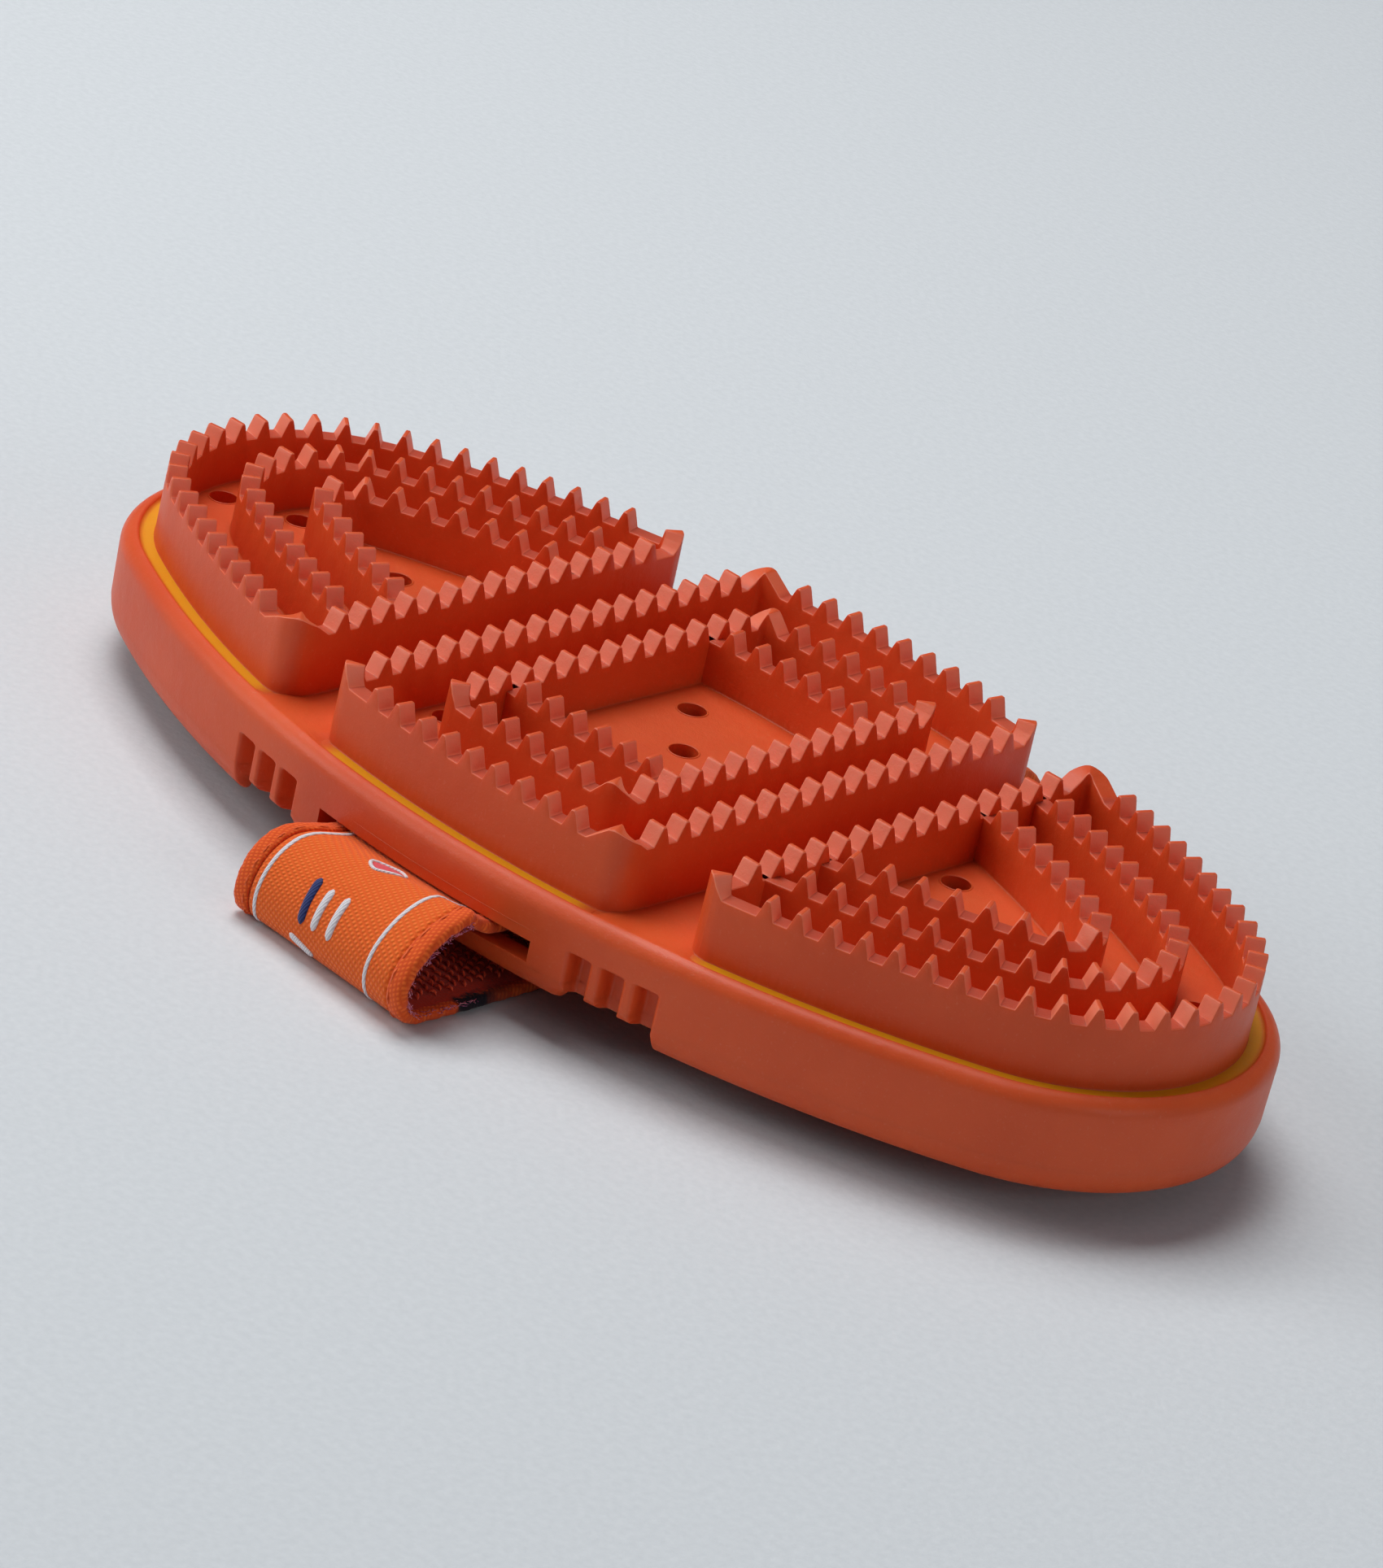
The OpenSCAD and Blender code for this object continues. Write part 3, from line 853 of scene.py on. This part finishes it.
def band_mesh(name, stations, section, material, slot, replaced=(), closed=True, sharp_deg=None):
    """Sweeps a section of (x, height off the outer side) along the band; a list gives one per station."""
    points = []
    cloth = []
    for i, s in enumerate(stations):
        here = np.array(section[i] if isinstance(section, list) else section, float)
        points.append(band(here[:, 0], np.full(len(here), s), here[:, 1]))
        cloth.append(np.stack([here[:, 0], np.full(len(here), s), here[:, 1]], 1))
    faces = tube_faces(len(stations), len(points[0]), closed)
    return cloth_piece(name, np.concatenate(points), np.concatenate(cloth), faces, material, slot, replaced,
                       sharp_deg)


def cloth_piece(name, points, cloth, faces, material, slot, replaced=(), sharp_deg=None):
    """A strap piece. Its cloth attribute holds each point's place on the flat band, in millimetres."""
    points = np.array(points, float)
    points[:, 2] = np.maximum(points[:, 2], FLOOR_GAP)
    piece = make_mesh(name, points, faces, material, "strap", sharp_deg=sharp_deg)
    add_attribute(piece, "cloth", "FLOAT_VECTOR", cloth)
    if replaced:
        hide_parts(*replaced)
    return piece


def seam_dip(x):
    """Depth of the sunk seams in the face."""
    return sum(-0.3 * math.exp(-((x - seam) / 0.3) ** 2) for seam in (LEFT_SEAM, RIGHT_SEAM))


def make_face(material):
    low, high = STRAP_LOW_X + 0.7, STRAP_HIGH_X - 0.7
    xs = list(np.arange(low, high, 1.0)) + [high]
    xs += [seam + d for seam in (LEFT_SEAM, RIGHT_SEAM) for d in (-0.6, -0.4, -0.2, 0, 0.2, 0.4, 0.6)]
    xs = sorted(set(round(x, 3) for x in xs))
    section = [(x, seam_dip(x)) for x in xs]
    section += [(high + 0.15, -0.35)] + [(x, -FACE_T) for x in reversed(xs[::2])] + [(low - 0.15, -0.35)]
    stations = np.arange(0, BAND_LENGTH, STATION_STEP)
    return band_mesh("strap_face_cloth", stations, tuple(section), material, "face_weave", ("strap_face",))


def make_lining(material):
    low, high = STRAP_LOW_X + 0.9, STRAP_HIGH_X - 0.9
    xs = np.linspace(low, high, 36)

    def underside(x):
        near_edge = min(x - low, high - x)
        return LOOPS_OUT + 0.5 * (1 - float(smooth_step(0, 2.2, near_edge)))

    section = [(x, -FACE_T + 0.05) for x in xs] + [(high + 0.1, -FACE_T - 0.2)]
    section += [(x, underside(x)) for x in reversed(xs)] + [(low - 0.1, -FACE_T - 0.2)]
    stations = np.arange(0, BAND_LENGTH, STATION_STEP)
    return band_mesh("strap_looped_lining", stations, tuple(section), material, "lining_loops",
                     ("strap_lining",))


def hem_section(edge, seam, inward, lift):
    """Fold of binding round one edge; inward is +1 for the left edge and -1 for the right."""
    wide = abs(seam - edge)
    shape = (
        (wide, -0.2), (wide - 0.1, 0.06), (wide - 0.4, 0.15 + lift), (wide * 0.5, 0.17 + lift),
        (0.75, 0.13), (0.32, -0.02), (0.07, -0.32), (0.0, -0.7), (0.07, -1.05), (0.3, -EDGE_T + 0.08),
        (0.7, -EDGE_T - 0.04), (1.1, -EDGE_T - 0.06), (1.4, -EDGE_T), (1.5, -EDGE_T + 0.15),
        (0.8, -1.2), (0.55, -0.7), (0.8, -0.3), (wide * 0.6, -0.25),
    )
    return [(edge + inward * x, out) for x, out in shape]


def make_hems(material):
    stations = np.arange(0, BAND_LENGTH, 0.6)
    wobble = random.Random(11)
    drift = [wobble.uniform(-0.1, 0.1) for _ in stations]
    pieces = []
    for node, edge, seam, inward, scallop in (
        ("left_hem", STRAP_LOW_X, LEFT_SEAM, 1, 0.06),
        ("right_hem", STRAP_HIGH_X, RIGHT_SEAM, -1, 0.16),
    ):
        sections = []
        for s, d in zip(stations, drift):
            pull = scallop * (1 - abs(math.sin(math.pi * s / STITCH_STEP))) + d * 0.6 + 0.1
            sections.append(hem_section(edge + inward * pull, seam + d * 0.3, inward, d * 0.4))
        pieces.append(band_mesh(node + "_fold", stations, sections, material, "hem_weave", (node,)))
    return pieces


def strand(points, lifts, sizes, half_width, height, sides):
    """A tube along (x, s) points, with the height of its middle and its relative size at each of them."""
    points = np.array(points, float)
    tangent = np.gradient(points, axis=0)
    tangent /= np.linalg.norm(tangent, axis=1)[:, None]
    cloth = []
    for (x, s), (tx, ts), lift, size in zip(points, tangent, lifts, sizes):
        for a in circle(sides):
            off = half_width * size * math.cos(a)
            cloth.append((x - ts * off, s + tx * off, lift + height * size * math.sin(a)))
    cloth = np.array(cloth)
    return band(*cloth.T), cloth, tube_faces(len(points), sides)


def thread(points, lifts, radius, sides=6):
    """A thread with tapered ends."""
    sizes = [0.25] + [1.0] * (len(points) - 2) + [0.25]
    return strand(points, lifts, sizes, radius, radius, sides)


def bar(points, half_width, height=0.3):
    """A padded bar of thread with rounded ends."""
    last = len(points) - 1
    ends = [min(i, last - i, 2) / 2 for i in range(last + 1)]
    sizes = [max(0.3, math.sqrt(1 - (1 - end) ** 2)) for end in ends]
    return strand(points, [0.02] * len(points), sizes, half_width, height, 10)


def make_stitching(material):
    pieces = []
    for name, node, seam, inward in (
        ("left_stitches", "left_stitching", LEFT_SEAM, 1),
        ("right_stitches", "right_stitching", RIGHT_SEAM, -1),
    ):
        parts = []
        x = seam - inward * 0.5
        for s in np.arange(0.5, BAND_LENGTH - 2, STITCH_STEP):
            run = [(x, s + d) for d in (0, 0.25, 0.7, 1.2, 1.7, 1.95)]
            parts.append(thread(run, [-0.05, 0.12, 0.2, 0.2, 0.12, -0.05], 0.11))
        pieces.append(cloth_piece(name, *merge(parts), material, "stitch_thread", (node,)))
    return pieces


def make_stripes(material):
    stations = np.arange(0, BAND_LENGTH, STATION_STEP)
    pieces = []
    for name, node, x in (
        ("left_white_line", "left_stripe", LEFT_STRIPE),
        ("right_white_line", "right_stripe", RIGHT_STRIPE),
    ):
        section = tuple((x + 0.3 * math.cos(a), 0.02 + 0.14 * math.sin(a)) for a in circle(10))
        pieces.append(band_mesh(name, stations, section, material, "white_thread", (node,)))
    return pieces


def line_points(start, end, count=14):
    t = np.linspace(0, 1, count)[:, None]
    return np.array(start, float) * (1 - t) + np.array(end, float) * t


def make_marks(navy, white, red):
    """Plain strokes and a lozenge, in places where the real strap has woven marks."""
    blue = cloth_piece("navy_bar", *bar(line_points((-6.3, 55.4), (-5.6, 62.0)), 0.62), navy,
                       "navy_thread", ("navy_mark",))
    strokes = [
        bar(line_points((-3.6, 56.0), (-3.3, 61.9)), 0.55),
        bar(line_points((-0.8, 56.0), (-0.5, 61.9)), 0.55),
        bar(line_points((-7.2, 64.3), (-3.0, 65.6)), 0.55),
    ]
    x, s = LOZENGE
    around = 32
    outline = []
    for a in circle(around) + [2 * math.pi]:
        across = (abs(math.cos(a)) / LOZENGE_X) ** LOZENGE_POWER
        along = (abs(math.sin(a)) / LOZENGE_S) ** LOZENGE_POWER
        reach = (across + along) ** (-1 / LOZENGE_POWER)
        outline.append((reach * math.cos(a), reach * math.sin(a)))
    strokes.append(bar([(x + dx, s + ds) for dx, ds in outline], 0.2, 0.22))
    pale = cloth_piece("white_bars", *merge(strokes), white, "white_thread", ("white_mark",))
    rings = (0.0, 0.35, 0.65, 0.88, 1.0)
    cloth = [(x + dx * k, s + ds * k, 0.24 * (1 - k ** 4) - 0.1) for k in rings for dx, ds in outline[:-1]]
    faces = tube_faces(len(rings), around, caps=False)
    points = band(*np.array(cloth).T)
    fill = cloth_piece("red_lozenge", points, cloth, faces, red, "red_thread", ("red_mark",))
    return [blue, pale, fill]


def make_join(material):
    """Overlap and zigzag stitches where the band's ends are sewn together, inside the comb."""
    section = [(x, LOOPS_OUT + 0.1) for x in (-13.0, -2.0, 9.2)] + [(9.4, LOOPS_OUT - 0.3)]
    section += [(x, LOOPS_OUT - 0.7) for x in (9.0, -2.0, -12.8)] + [(-13.2, LOOPS_OUT - 0.3)]
    overlap = band_mesh("join_overlap", np.linspace(-3.5, 3.5, 9), tuple(section), material, "stitch_thread",
                        ("join_seam",), closed=False)
    parts = []
    for s in (-2.2, 2.2):
        zigzag = [(-12.4 + 1.1 * k, s + 0.7 * (-1) ** k) for k in range(20)]
        parts.append(thread(zigzag, [LOOPS_OUT - 0.75] * len(zigzag), 0.14))
    return [overlap, cloth_piece("join_zigzag", *merge(parts), material, "stitch_thread")]


def make_loops(material):
    """Rows of knitted loops on the lining, left out where the band passes through the slots."""
    wobble = random.Random(5)
    parts = []
    for row, s in enumerate(np.arange(4, BAND_LENGTH - 4, LOOP_ROW_STEP)):
        if min(abs(s - SLOT_S), abs(BAND_LENGTH - s - SLOT_S)) < SLOT_CLEAR:
            continue
        for x in np.arange(STRAP_LOW_X + 3.6, STRAP_HIGH_X - 2.9, LOOP_STEP):
            cx = x + LOOP_STEP / 2 * (row % 2) + wobble.uniform(-0.14, 0.14)
            cs = s + wobble.uniform(-0.18, 0.18)
            tall = wobble.uniform(0.34, 0.6)
            turn = wobble.uniform(-0.5, 0.5)
            rise = [math.pi * t for t in (0, 0.2, 0.4, 0.6, 0.8, 1.0)]
            along = [-0.5 * math.cos(a) for a in rise]
            arch = [(cx + d * math.cos(turn), cs + d * math.sin(turn)) for d in along]
            parts.append(thread(arch, [LOOPS_OUT + 0.05 - tall * math.sin(a) for a in rise], 0.19, 5))
    return cloth_piece("lining_loops_pile", *merge(parts), material, "lining_loops")


def make_fibres(material, seed, count, name):
    """Loose fibres along the cut edges of the lining."""
    wobble = random.Random(seed)
    parts = []
    for _ in range(count):
        right = wobble.random() < RIGHT_SHARE
        edge = STRAP_HIGH_X if right else STRAP_LOW_X
        inward = -1 if right else 1
        x = edge + inward * wobble.uniform(0.25, 0.9)
        s = wobble.uniform(*FIBRES_S)
        out = wobble.uniform(-1.5, -1.1)
        reach = wobble.uniform(0.25, 0.8)
        lean = wobble.uniform(-0.9, 0.9)
        fall = wobble.uniform(-0.35, 0.15)
        shares = (0, 0.3, 0.6, 0.85, 1.0)
        run = [(x - inward * reach * t, s + lean * t * t) for t in shares]
        parts.append(thread(run, [out + fall * t for t in shares], 0.045, 4))
    return cloth_piece(name, *merge(parts), material, "hem_weave")


# ---- Materials ----

# Colours are linear
RUBBER_DARK = (0.66, 0.075, 0.013)
RUBBER_LIGHT = (0.75, 0.102, 0.022)
DUST = (0.80, 0.32, 0.20)
# Painted highlight: pale tone on the teeth's sloping flanks, where the overhead light reflects
FLANK_HIGHLIGHT = (0.96, 0.275, 0.165)
# Painted shade: dark tone on the level valley floors between the teeth
VALLEY_SHADE = (0.34, 0.060, 0.050)
OCHRE = (0.92, 0.36, 0.006)
FACE_ORANGE = ((0.80, 0.108, 0.010), (0.95, 0.185, 0.024))
HEM_ORANGE = ((0.70, 0.070, 0.008), (0.90, 0.150, 0.020))
LINING_RED = ((0.50, 0.030, 0.010), (0.55, 0.04, 0.012))
LOOP_RED = ((0.66, 0.045, 0.012), (0.85, 0.11, 0.04))
# Near black of the painted shadow on the strap's right edge, under the comb
SHADOW_TONE = (0.014, 0.010, 0.016)
FLOOR_TONES = ((0.675, 0.71, 0.74), (0.72, 0.755, 0.785))

THREAD_TONES = {
    "stitch_thread": ((0.70, 0.085, 0.01), (0.88, 0.15, 0.03)),
    "white_thread": ((0.62, 0.58, 0.62), (0.88, 0.86, 0.88)),
    "navy_thread": ((0.010, 0.014, 0.075), (0.03, 0.05, 0.20)),
    "red_thread": ((0.62, 0.03, 0.05), (0.85, 0.11, 0.13)),
    "pink_fibre": ((0.70, 0.10, 0.18), (0.85, 0.35, 0.45)),
    "violet_fibre": ((0.25, 0.03, 0.16), (0.55, 0.18, 0.35)),
}

# Scales of the rubber's noise, per metre
CLOUD_SCALE = 38
GLOSS_SCALE = 90
SOFT_SCALE = 420
SPECK_SCALE = 2600
GRAIN_SCALE = 4200

# Pitches of the threads, in millimetres
FACE_PITCH = 0.62
HEM_PITCH = 0.52
THREAD_PITCH = 0.32


def new_material(name):
    material = bpy.data.materials.new(name)
    material.use_nodes = True
    tree = material.node_tree
    return material, tree, tree.nodes["Principled BSDF"]


def fill_in(tree, node, values):
    """Gives a node's inputs their values: a link, a colour as a tuple, or a plain number or list."""
    for name, value in values.items():
        socket = node.inputs[name]
        if isinstance(value, bpy.types.NodeSocket):
            tree.links.new(value, socket)
        else:
            socket.default_value = (*value, 1.0) if isinstance(value, tuple) else value
    return node


def add_node(tree, kind, values):
    return fill_in(tree, tree.nodes.new("ShaderNode" + kind), values)


def noise(tree, vector, scale, detail=3.0):
    values = {"Vector": vector, "Scale": scale, "Detail": detail, "Roughness": 0.5}
    return add_node(tree, "TexNoise", values).outputs["Fac"]


def ramp(tree, value, dark_at, dark, light_at, light):
    node = add_node(tree, "ValToRGB", {"Fac": value})
    stops = ((dark_at, dark), (light_at, light))
    for element, (position, colour) in zip(node.color_ramp.elements, stops):
        element.position = position
        element.color = (*colour, 1.0)
    return node.outputs["Color"]


def mix_colour(tree, factor, a, b):
    node = tree.nodes.new("ShaderNodeMix")
    node.data_type = "RGBA"
    return fill_in(tree, node, {0: factor, 6: a, 7: b}).outputs[2]


def maths(tree, operation, a, b=None):
    node = tree.nodes.new("ShaderNodeMath")
    node.operation = operation
    return fill_in(tree, node, {0: a} if b is None else {0: a, 1: b}).outputs[0]


def times(tree, *factors):
    result = factors[0]
    for factor in factors[1:]:
        result = maths(tree, "MULTIPLY", result, factor)
    return result


def between(tree, value, low, high):
    """Rises from 0 to 1 as the value goes from low to high."""
    return add_node(tree, "MapRange", {"From Min": low, "From Max": high, "Value": value}).outputs["Result"]


def axes(tree, vector):
    return add_node(tree, "SeparateXYZ", {0: vector}).outputs


def bump(tree, shader, heights):
    """Chains (height socket, strength, distance in metres) into the shader's normal."""
    normal = None
    for height, strength, distance in heights:
        node = add_node(tree, "Bump", {"Strength": strength, "Distance": distance, "Height": height})
        if normal:
            tree.links.new(normal, node.inputs["Normal"])
        normal = node.outputs["Normal"]
    tree.links.new(normal, shader.inputs["Normal"])


def object_coordinates(tree):
    return tree.nodes.new("ShaderNodeTexCoord").outputs["Object"]


def point_attribute(tree, name, output):
    node = tree.nodes.new("ShaderNodeAttribute")
    node.attribute_name = name
    return node.outputs[output]


def painted_tooth_light(tree, where):
    """Shares of the painted highlight on the teeth's sloping flanks and of the painted shade on their level
    valley floors.
    """
    z = axes(tree, where)["Z"]
    facing = axes(tree, tree.nodes.new("ShaderNodeNewGeometry").outputs["Normal"])["Z"]
    valley = RIDGE_Z - TOOTH_H
    high = between(tree, z, (valley - 0.15) * MM, valley * MM)
    low = between(tree, z, (valley + 0.5) * MM, (valley + 0.2) * MM)
    sloping = between(tree, facing, 0.12, 0.34)
    level = between(tree, facing, 0.65, 0.9)
    flank_highlight = times(tree, high, maths(tree, "SUBTRACT", sloping, level), 0.75)
    valley_shade = times(tree, high, low, level, 0.45)
    return flank_highlight, valley_shade


def rubber_nodes(tree, shader):
    """Sets up rubber on a shader and returns its colour."""
    where = object_coordinates(tree)
    cloudy = ramp(tree, noise(tree, where, CLOUD_SCALE, 4.0), 0.35, RUBBER_DARK, 0.68, RUBBER_LIGHT)
    specks = maths(tree, "SUBTRACT", noise(tree, where, SPECK_SCALE, 2.0), 0.62)
    dusty = maths(tree, "MAXIMUM", times(tree, specks, 0.9), 0.0)
    flank_highlight, valley_shade = painted_tooth_light(tree, where)
    colour = mix_colour(tree, dusty, cloudy, DUST)
    # Painted highlight on the sloping tooth flanks
    colour = mix_colour(tree, flank_highlight, colour, FLANK_HIGHLIGHT)
    # Painted shade on the level valley floors
    colour = mix_colour(tree, valley_shade, colour, VALLEY_SHADE)
    rough = maths(tree, "ADD", times(tree, noise(tree, where, GLOSS_SCALE, 4.0), 0.16), 0.36)
    soft = noise(tree, where, SOFT_SCALE)
    grain = noise(tree, where, GRAIN_SCALE, 2.0)
    bump(tree, shader, [(soft, 0.16, 0.6 * MM), (grain, 0.22, 0.12 * MM)])
    fill_in(tree, shader, {
        "Roughness": rough,
        "Specular IOR Level": 0.34,
        "Subsurface Weight": 0.25,
        "Subsurface Radius": [1.0, 0.22, 0.08],
        "Subsurface Scale": 2.2 * MM,
    })
    return colour


def rubber_material():
    material, tree, shader = new_material("comb_rubber")
    fill_in(tree, shader, {"Base Color": rubber_nodes(tree, shader)})
    return material


def groove_material():
    material, tree, shader = new_material("groove_ochre")
    tint = point_attribute(tree, "tint", "Fac")
    fill_in(tree, shader, {"Base Color": mix_colour(tree, tint, rubber_nodes(tree, shader), OCHRE)})
    return material


def cloth_material(name, sheen, roughness=0.85):
    """A bare cloth, and its place on the flat band, which the cloth's pattern follows."""
    material, tree, shader = new_material(name)
    fill_in(tree, shader, {
        "Roughness": roughness,
        "Specular IOR Level": 0.25,
        "Sheen Weight": sheen,
        "Sheen Roughness": 0.45,
    })
    return material, tree, shader, point_attribute(tree, "cloth", "Vector")


def wave(tree, place, direction, pitch):
    """A sine across the flat cloth, from 0 to 1, along a direction in it."""
    dot = tree.nodes.new("ShaderNodeVectorMath")
    dot.operation = "DOT_PRODUCT"
    turns = 2 * math.pi / pitch / math.hypot(*direction)
    fill_in(tree, dot, {0: place, 1: [turns * d for d in (*direction, 0)]})
    sine = maths(tree, "SINE", dot.outputs["Value"])
    return maths(tree, "ADD", times(tree, sine, 0.5), 0.5)


def painted_shadow(tree, place, colour):
    """Painted shadow: darkens the right edge where the band turns under the comb and runs along the floor."""
    x, s, _ = axes(tree, place)
    ragged = times(tree, noise(tree, place, 1.1), 2.4)
    placed = maths(tree, "ADD", s, ragged)
    begun = between(tree, placed, SHADOW_S, SHADOW_S + 1.0)
    ended = between(tree, placed, SHADOW_END, SHADOW_END + 6.0)
    across = between(tree, maths(tree, "ADD", x, ragged), SHADOW_X, SHADOW_X + 0.8)
    amount = times(tree, begun, maths(tree, "SUBTRACT", 1.0, ended), across)
    return mix_colour(tree, amount, colour, SHADOW_TONE)


def woven_material(name, tones, first, second, pitch, depth, shadowed=False):
    """Two crossing rows of threads that make small raised dots, with fibre noise over them."""
    material, tree, shader, place = cloth_material(name, sheen=0.1)
    dots = times(tree, wave(tree, place, first, pitch), wave(tree, place, second, pitch * 1.15))
    fuzz = noise(tree, place, 5.0)
    wide = noise(tree, place, 0.35)
    tone = maths(tree, "ADD", times(tree, dots, 0.75), times(tree, fuzz, 0.35))
    tone = maths(tree, "ADD", tone, times(tree, wide, 0.25))
    colour = ramp(tree, tone, 0.25, tones[0], 0.85, tones[1])
    # Painted shadow on the edge that runs under the comb
    if shadowed:
        colour = painted_shadow(tree, place, colour)
    fill_in(tree, shader, {"Base Color": colour})
    bump(tree, shader, [(dots, 0.8, depth * MM), (fuzz, 0.5, 0.05 * MM)])
    return material


def thread_material(name):
    """Laid satin threads, seen as fine ridges."""
    material, tree, shader, place = cloth_material(name, sheen=0.2, roughness=0.6)
    dark, light = THREAD_TONES[name]
    ridges = wave(tree, place, (1.0, 0.35), THREAD_PITCH)
    fuzz = noise(tree, place, 4.0)
    tone = maths(tree, "ADD", times(tree, ridges, 0.6), times(tree, fuzz, 0.5))
    fill_in(tree, shader, {"Base Color": ramp(tree, tone, 0.2, dark, 0.8, light)})
    bump(tree, shader, [(ridges, 0.6, 0.06 * MM), (fuzz, 0.4, 0.04 * MM)])
    return material


def lining_material(name, tones):
    """Looped pile, with painted shadow on its edge where the band runs under the comb."""
    material, tree, shader, place = cloth_material(name, sheen=0.2)
    fuzz = noise(tree, place, 3.0, 4.0)
    colour = ramp(tree, fuzz, 0.3, tones[0], 0.7, tones[1])
    fill_in(tree, shader, {"Base Color": painted_shadow(tree, place, colour)})
    bump(tree, shader, [(fuzz, 0.8, 0.15 * MM)])
    return material


# ---- Stage ----

FLOOR_HALF = 3.0
WORLD_TONE = (0.80, 0.86, 0.94)
WORLD_STRENGTH = 0.12

# Area lights, aimed at the comb: name, place and width in metres, power in watts
LIGHTS = (
    ("key", (-0.45, 0.1, 1.2), 0.8, 11.8),
    ("left_box", (-1.0, -0.75, 0.7), 0.8, 7.0),
    ("right_low", (1.15, -0.1, 0.5), 0.5, 1.6),
)
AIM = Vector((0, 0, 0.01))

# The camera's place in metres, turn in degrees, and sensor width and lens in millimetres
CAMERA_PLACE = (0.4546, -0.5787, 0.3516)
CAMERA_TURN = (64.856, -11.894, 43.531)
SENSOR = 36.0
LENS = 149.13


def make_floor():
    mesh = bpy.data.meshes.new("floor")
    corners = [(x * FLOOR_HALF, y * FLOOR_HALF, 0) for x, y in ((-1, -1), (1, -1), (1, 1), (-1, 1))]
    mesh.from_pydata(corners, [], [(0, 1, 2, 3)])
    material, tree, shader = new_material("floor_paper")
    where = object_coordinates(tree)
    tone = ramp(tree, noise(tree, where, 900), 0.3, FLOOR_TONES[0], 0.7, FLOOR_TONES[1])
    fill_in(tree, shader, {"Base Color": tone, "Roughness": 0.9})
    bump(tree, shader, [(noise(tree, where, 1500, 2.0), 0.12, 0.4 * MM)])
    mesh.materials.append(material)
    add_object("floor", mesh)


def make_lights():
    world = bpy.data.worlds.new("studio")
    world.use_nodes = True
    background = world.node_tree.nodes["Background"]
    fill_in(world.node_tree, background, {"Color": WORLD_TONE, "Strength": WORLD_STRENGTH})
    bpy.context.scene.world = world
    for name, place, size, power in LIGHTS:
        data = bpy.data.lights.new(name, "AREA")
        data.shape = "SQUARE"
        data.size = size
        data.energy = power
        light = add_object(name, data)
        light.location = place
        light.rotation_mode = "QUATERNION"
        light.rotation_quaternion = (AIM - Vector(place)).to_track_quat("-Z", "Y")


def make_camera():
    data = bpy.data.cameras.new("camera")
    data.sensor_width = SENSOR
    data.lens = LENS
    camera = add_object("camera", data)
    camera.location = CAMERA_PLACE
    camera.rotation_euler = [math.radians(a) for a in CAMERA_TURN]
    bpy.context.scene.camera = camera


# ---- The scene ----

make_camera()
make_floor()
make_lights()
bpy.context.scene.view_settings.view_transform = "Standard"

rubber = rubber_material()
for node_name in ("base_plate", "left_pad", "middle_pad", "right_pad"):
    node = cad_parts[node_name]
    node.data.materials.clear()
    node.data.materials.append(rubber)
make_end_ridges(rubber)
make_middle_ridges(rubber)
make_rim(rubber)
make_bands(groove_material())
make_vent_rims(rubber)
make_mould_line(rubber)

face_weave = woven_material("face_weave", FACE_ORANGE, (1.0, 0.55), (-0.55, 1.0), FACE_PITCH, 0.16)
# The hem gets the painted shadow where it runs under the comb
hem_weave = woven_material("hem_weave", HEM_ORANGE, (0.6, 1.0), (1.0, -0.25), HEM_PITCH, 0.06, shadowed=True)
lining_cloth = lining_material("lining_cloth", LINING_RED)
loop_thread = lining_material("loop_thread", LOOP_RED)
threads = {name: thread_material(name) for name in THREAD_TONES}
stitch_thread = threads["stitch_thread"]
white_thread = threads["white_thread"]

face_cloth = make_face(face_weave)
lining = make_lining(lining_cloth)
trims = make_hems(hem_weave) + make_stitching(stitch_thread) + make_stripes(white_thread)
trims += make_marks(threads["navy_thread"], white_thread, threads["red_thread"])
inside = [make_loops(loop_thread)] + make_join(stitch_thread)
inside.append(make_fibres(threads["pink_fibre"], 21, 240, "pink_fibres"))
inside.append(make_fibres(threads["violet_fibre"], 22, 60, "violet_fibres"))
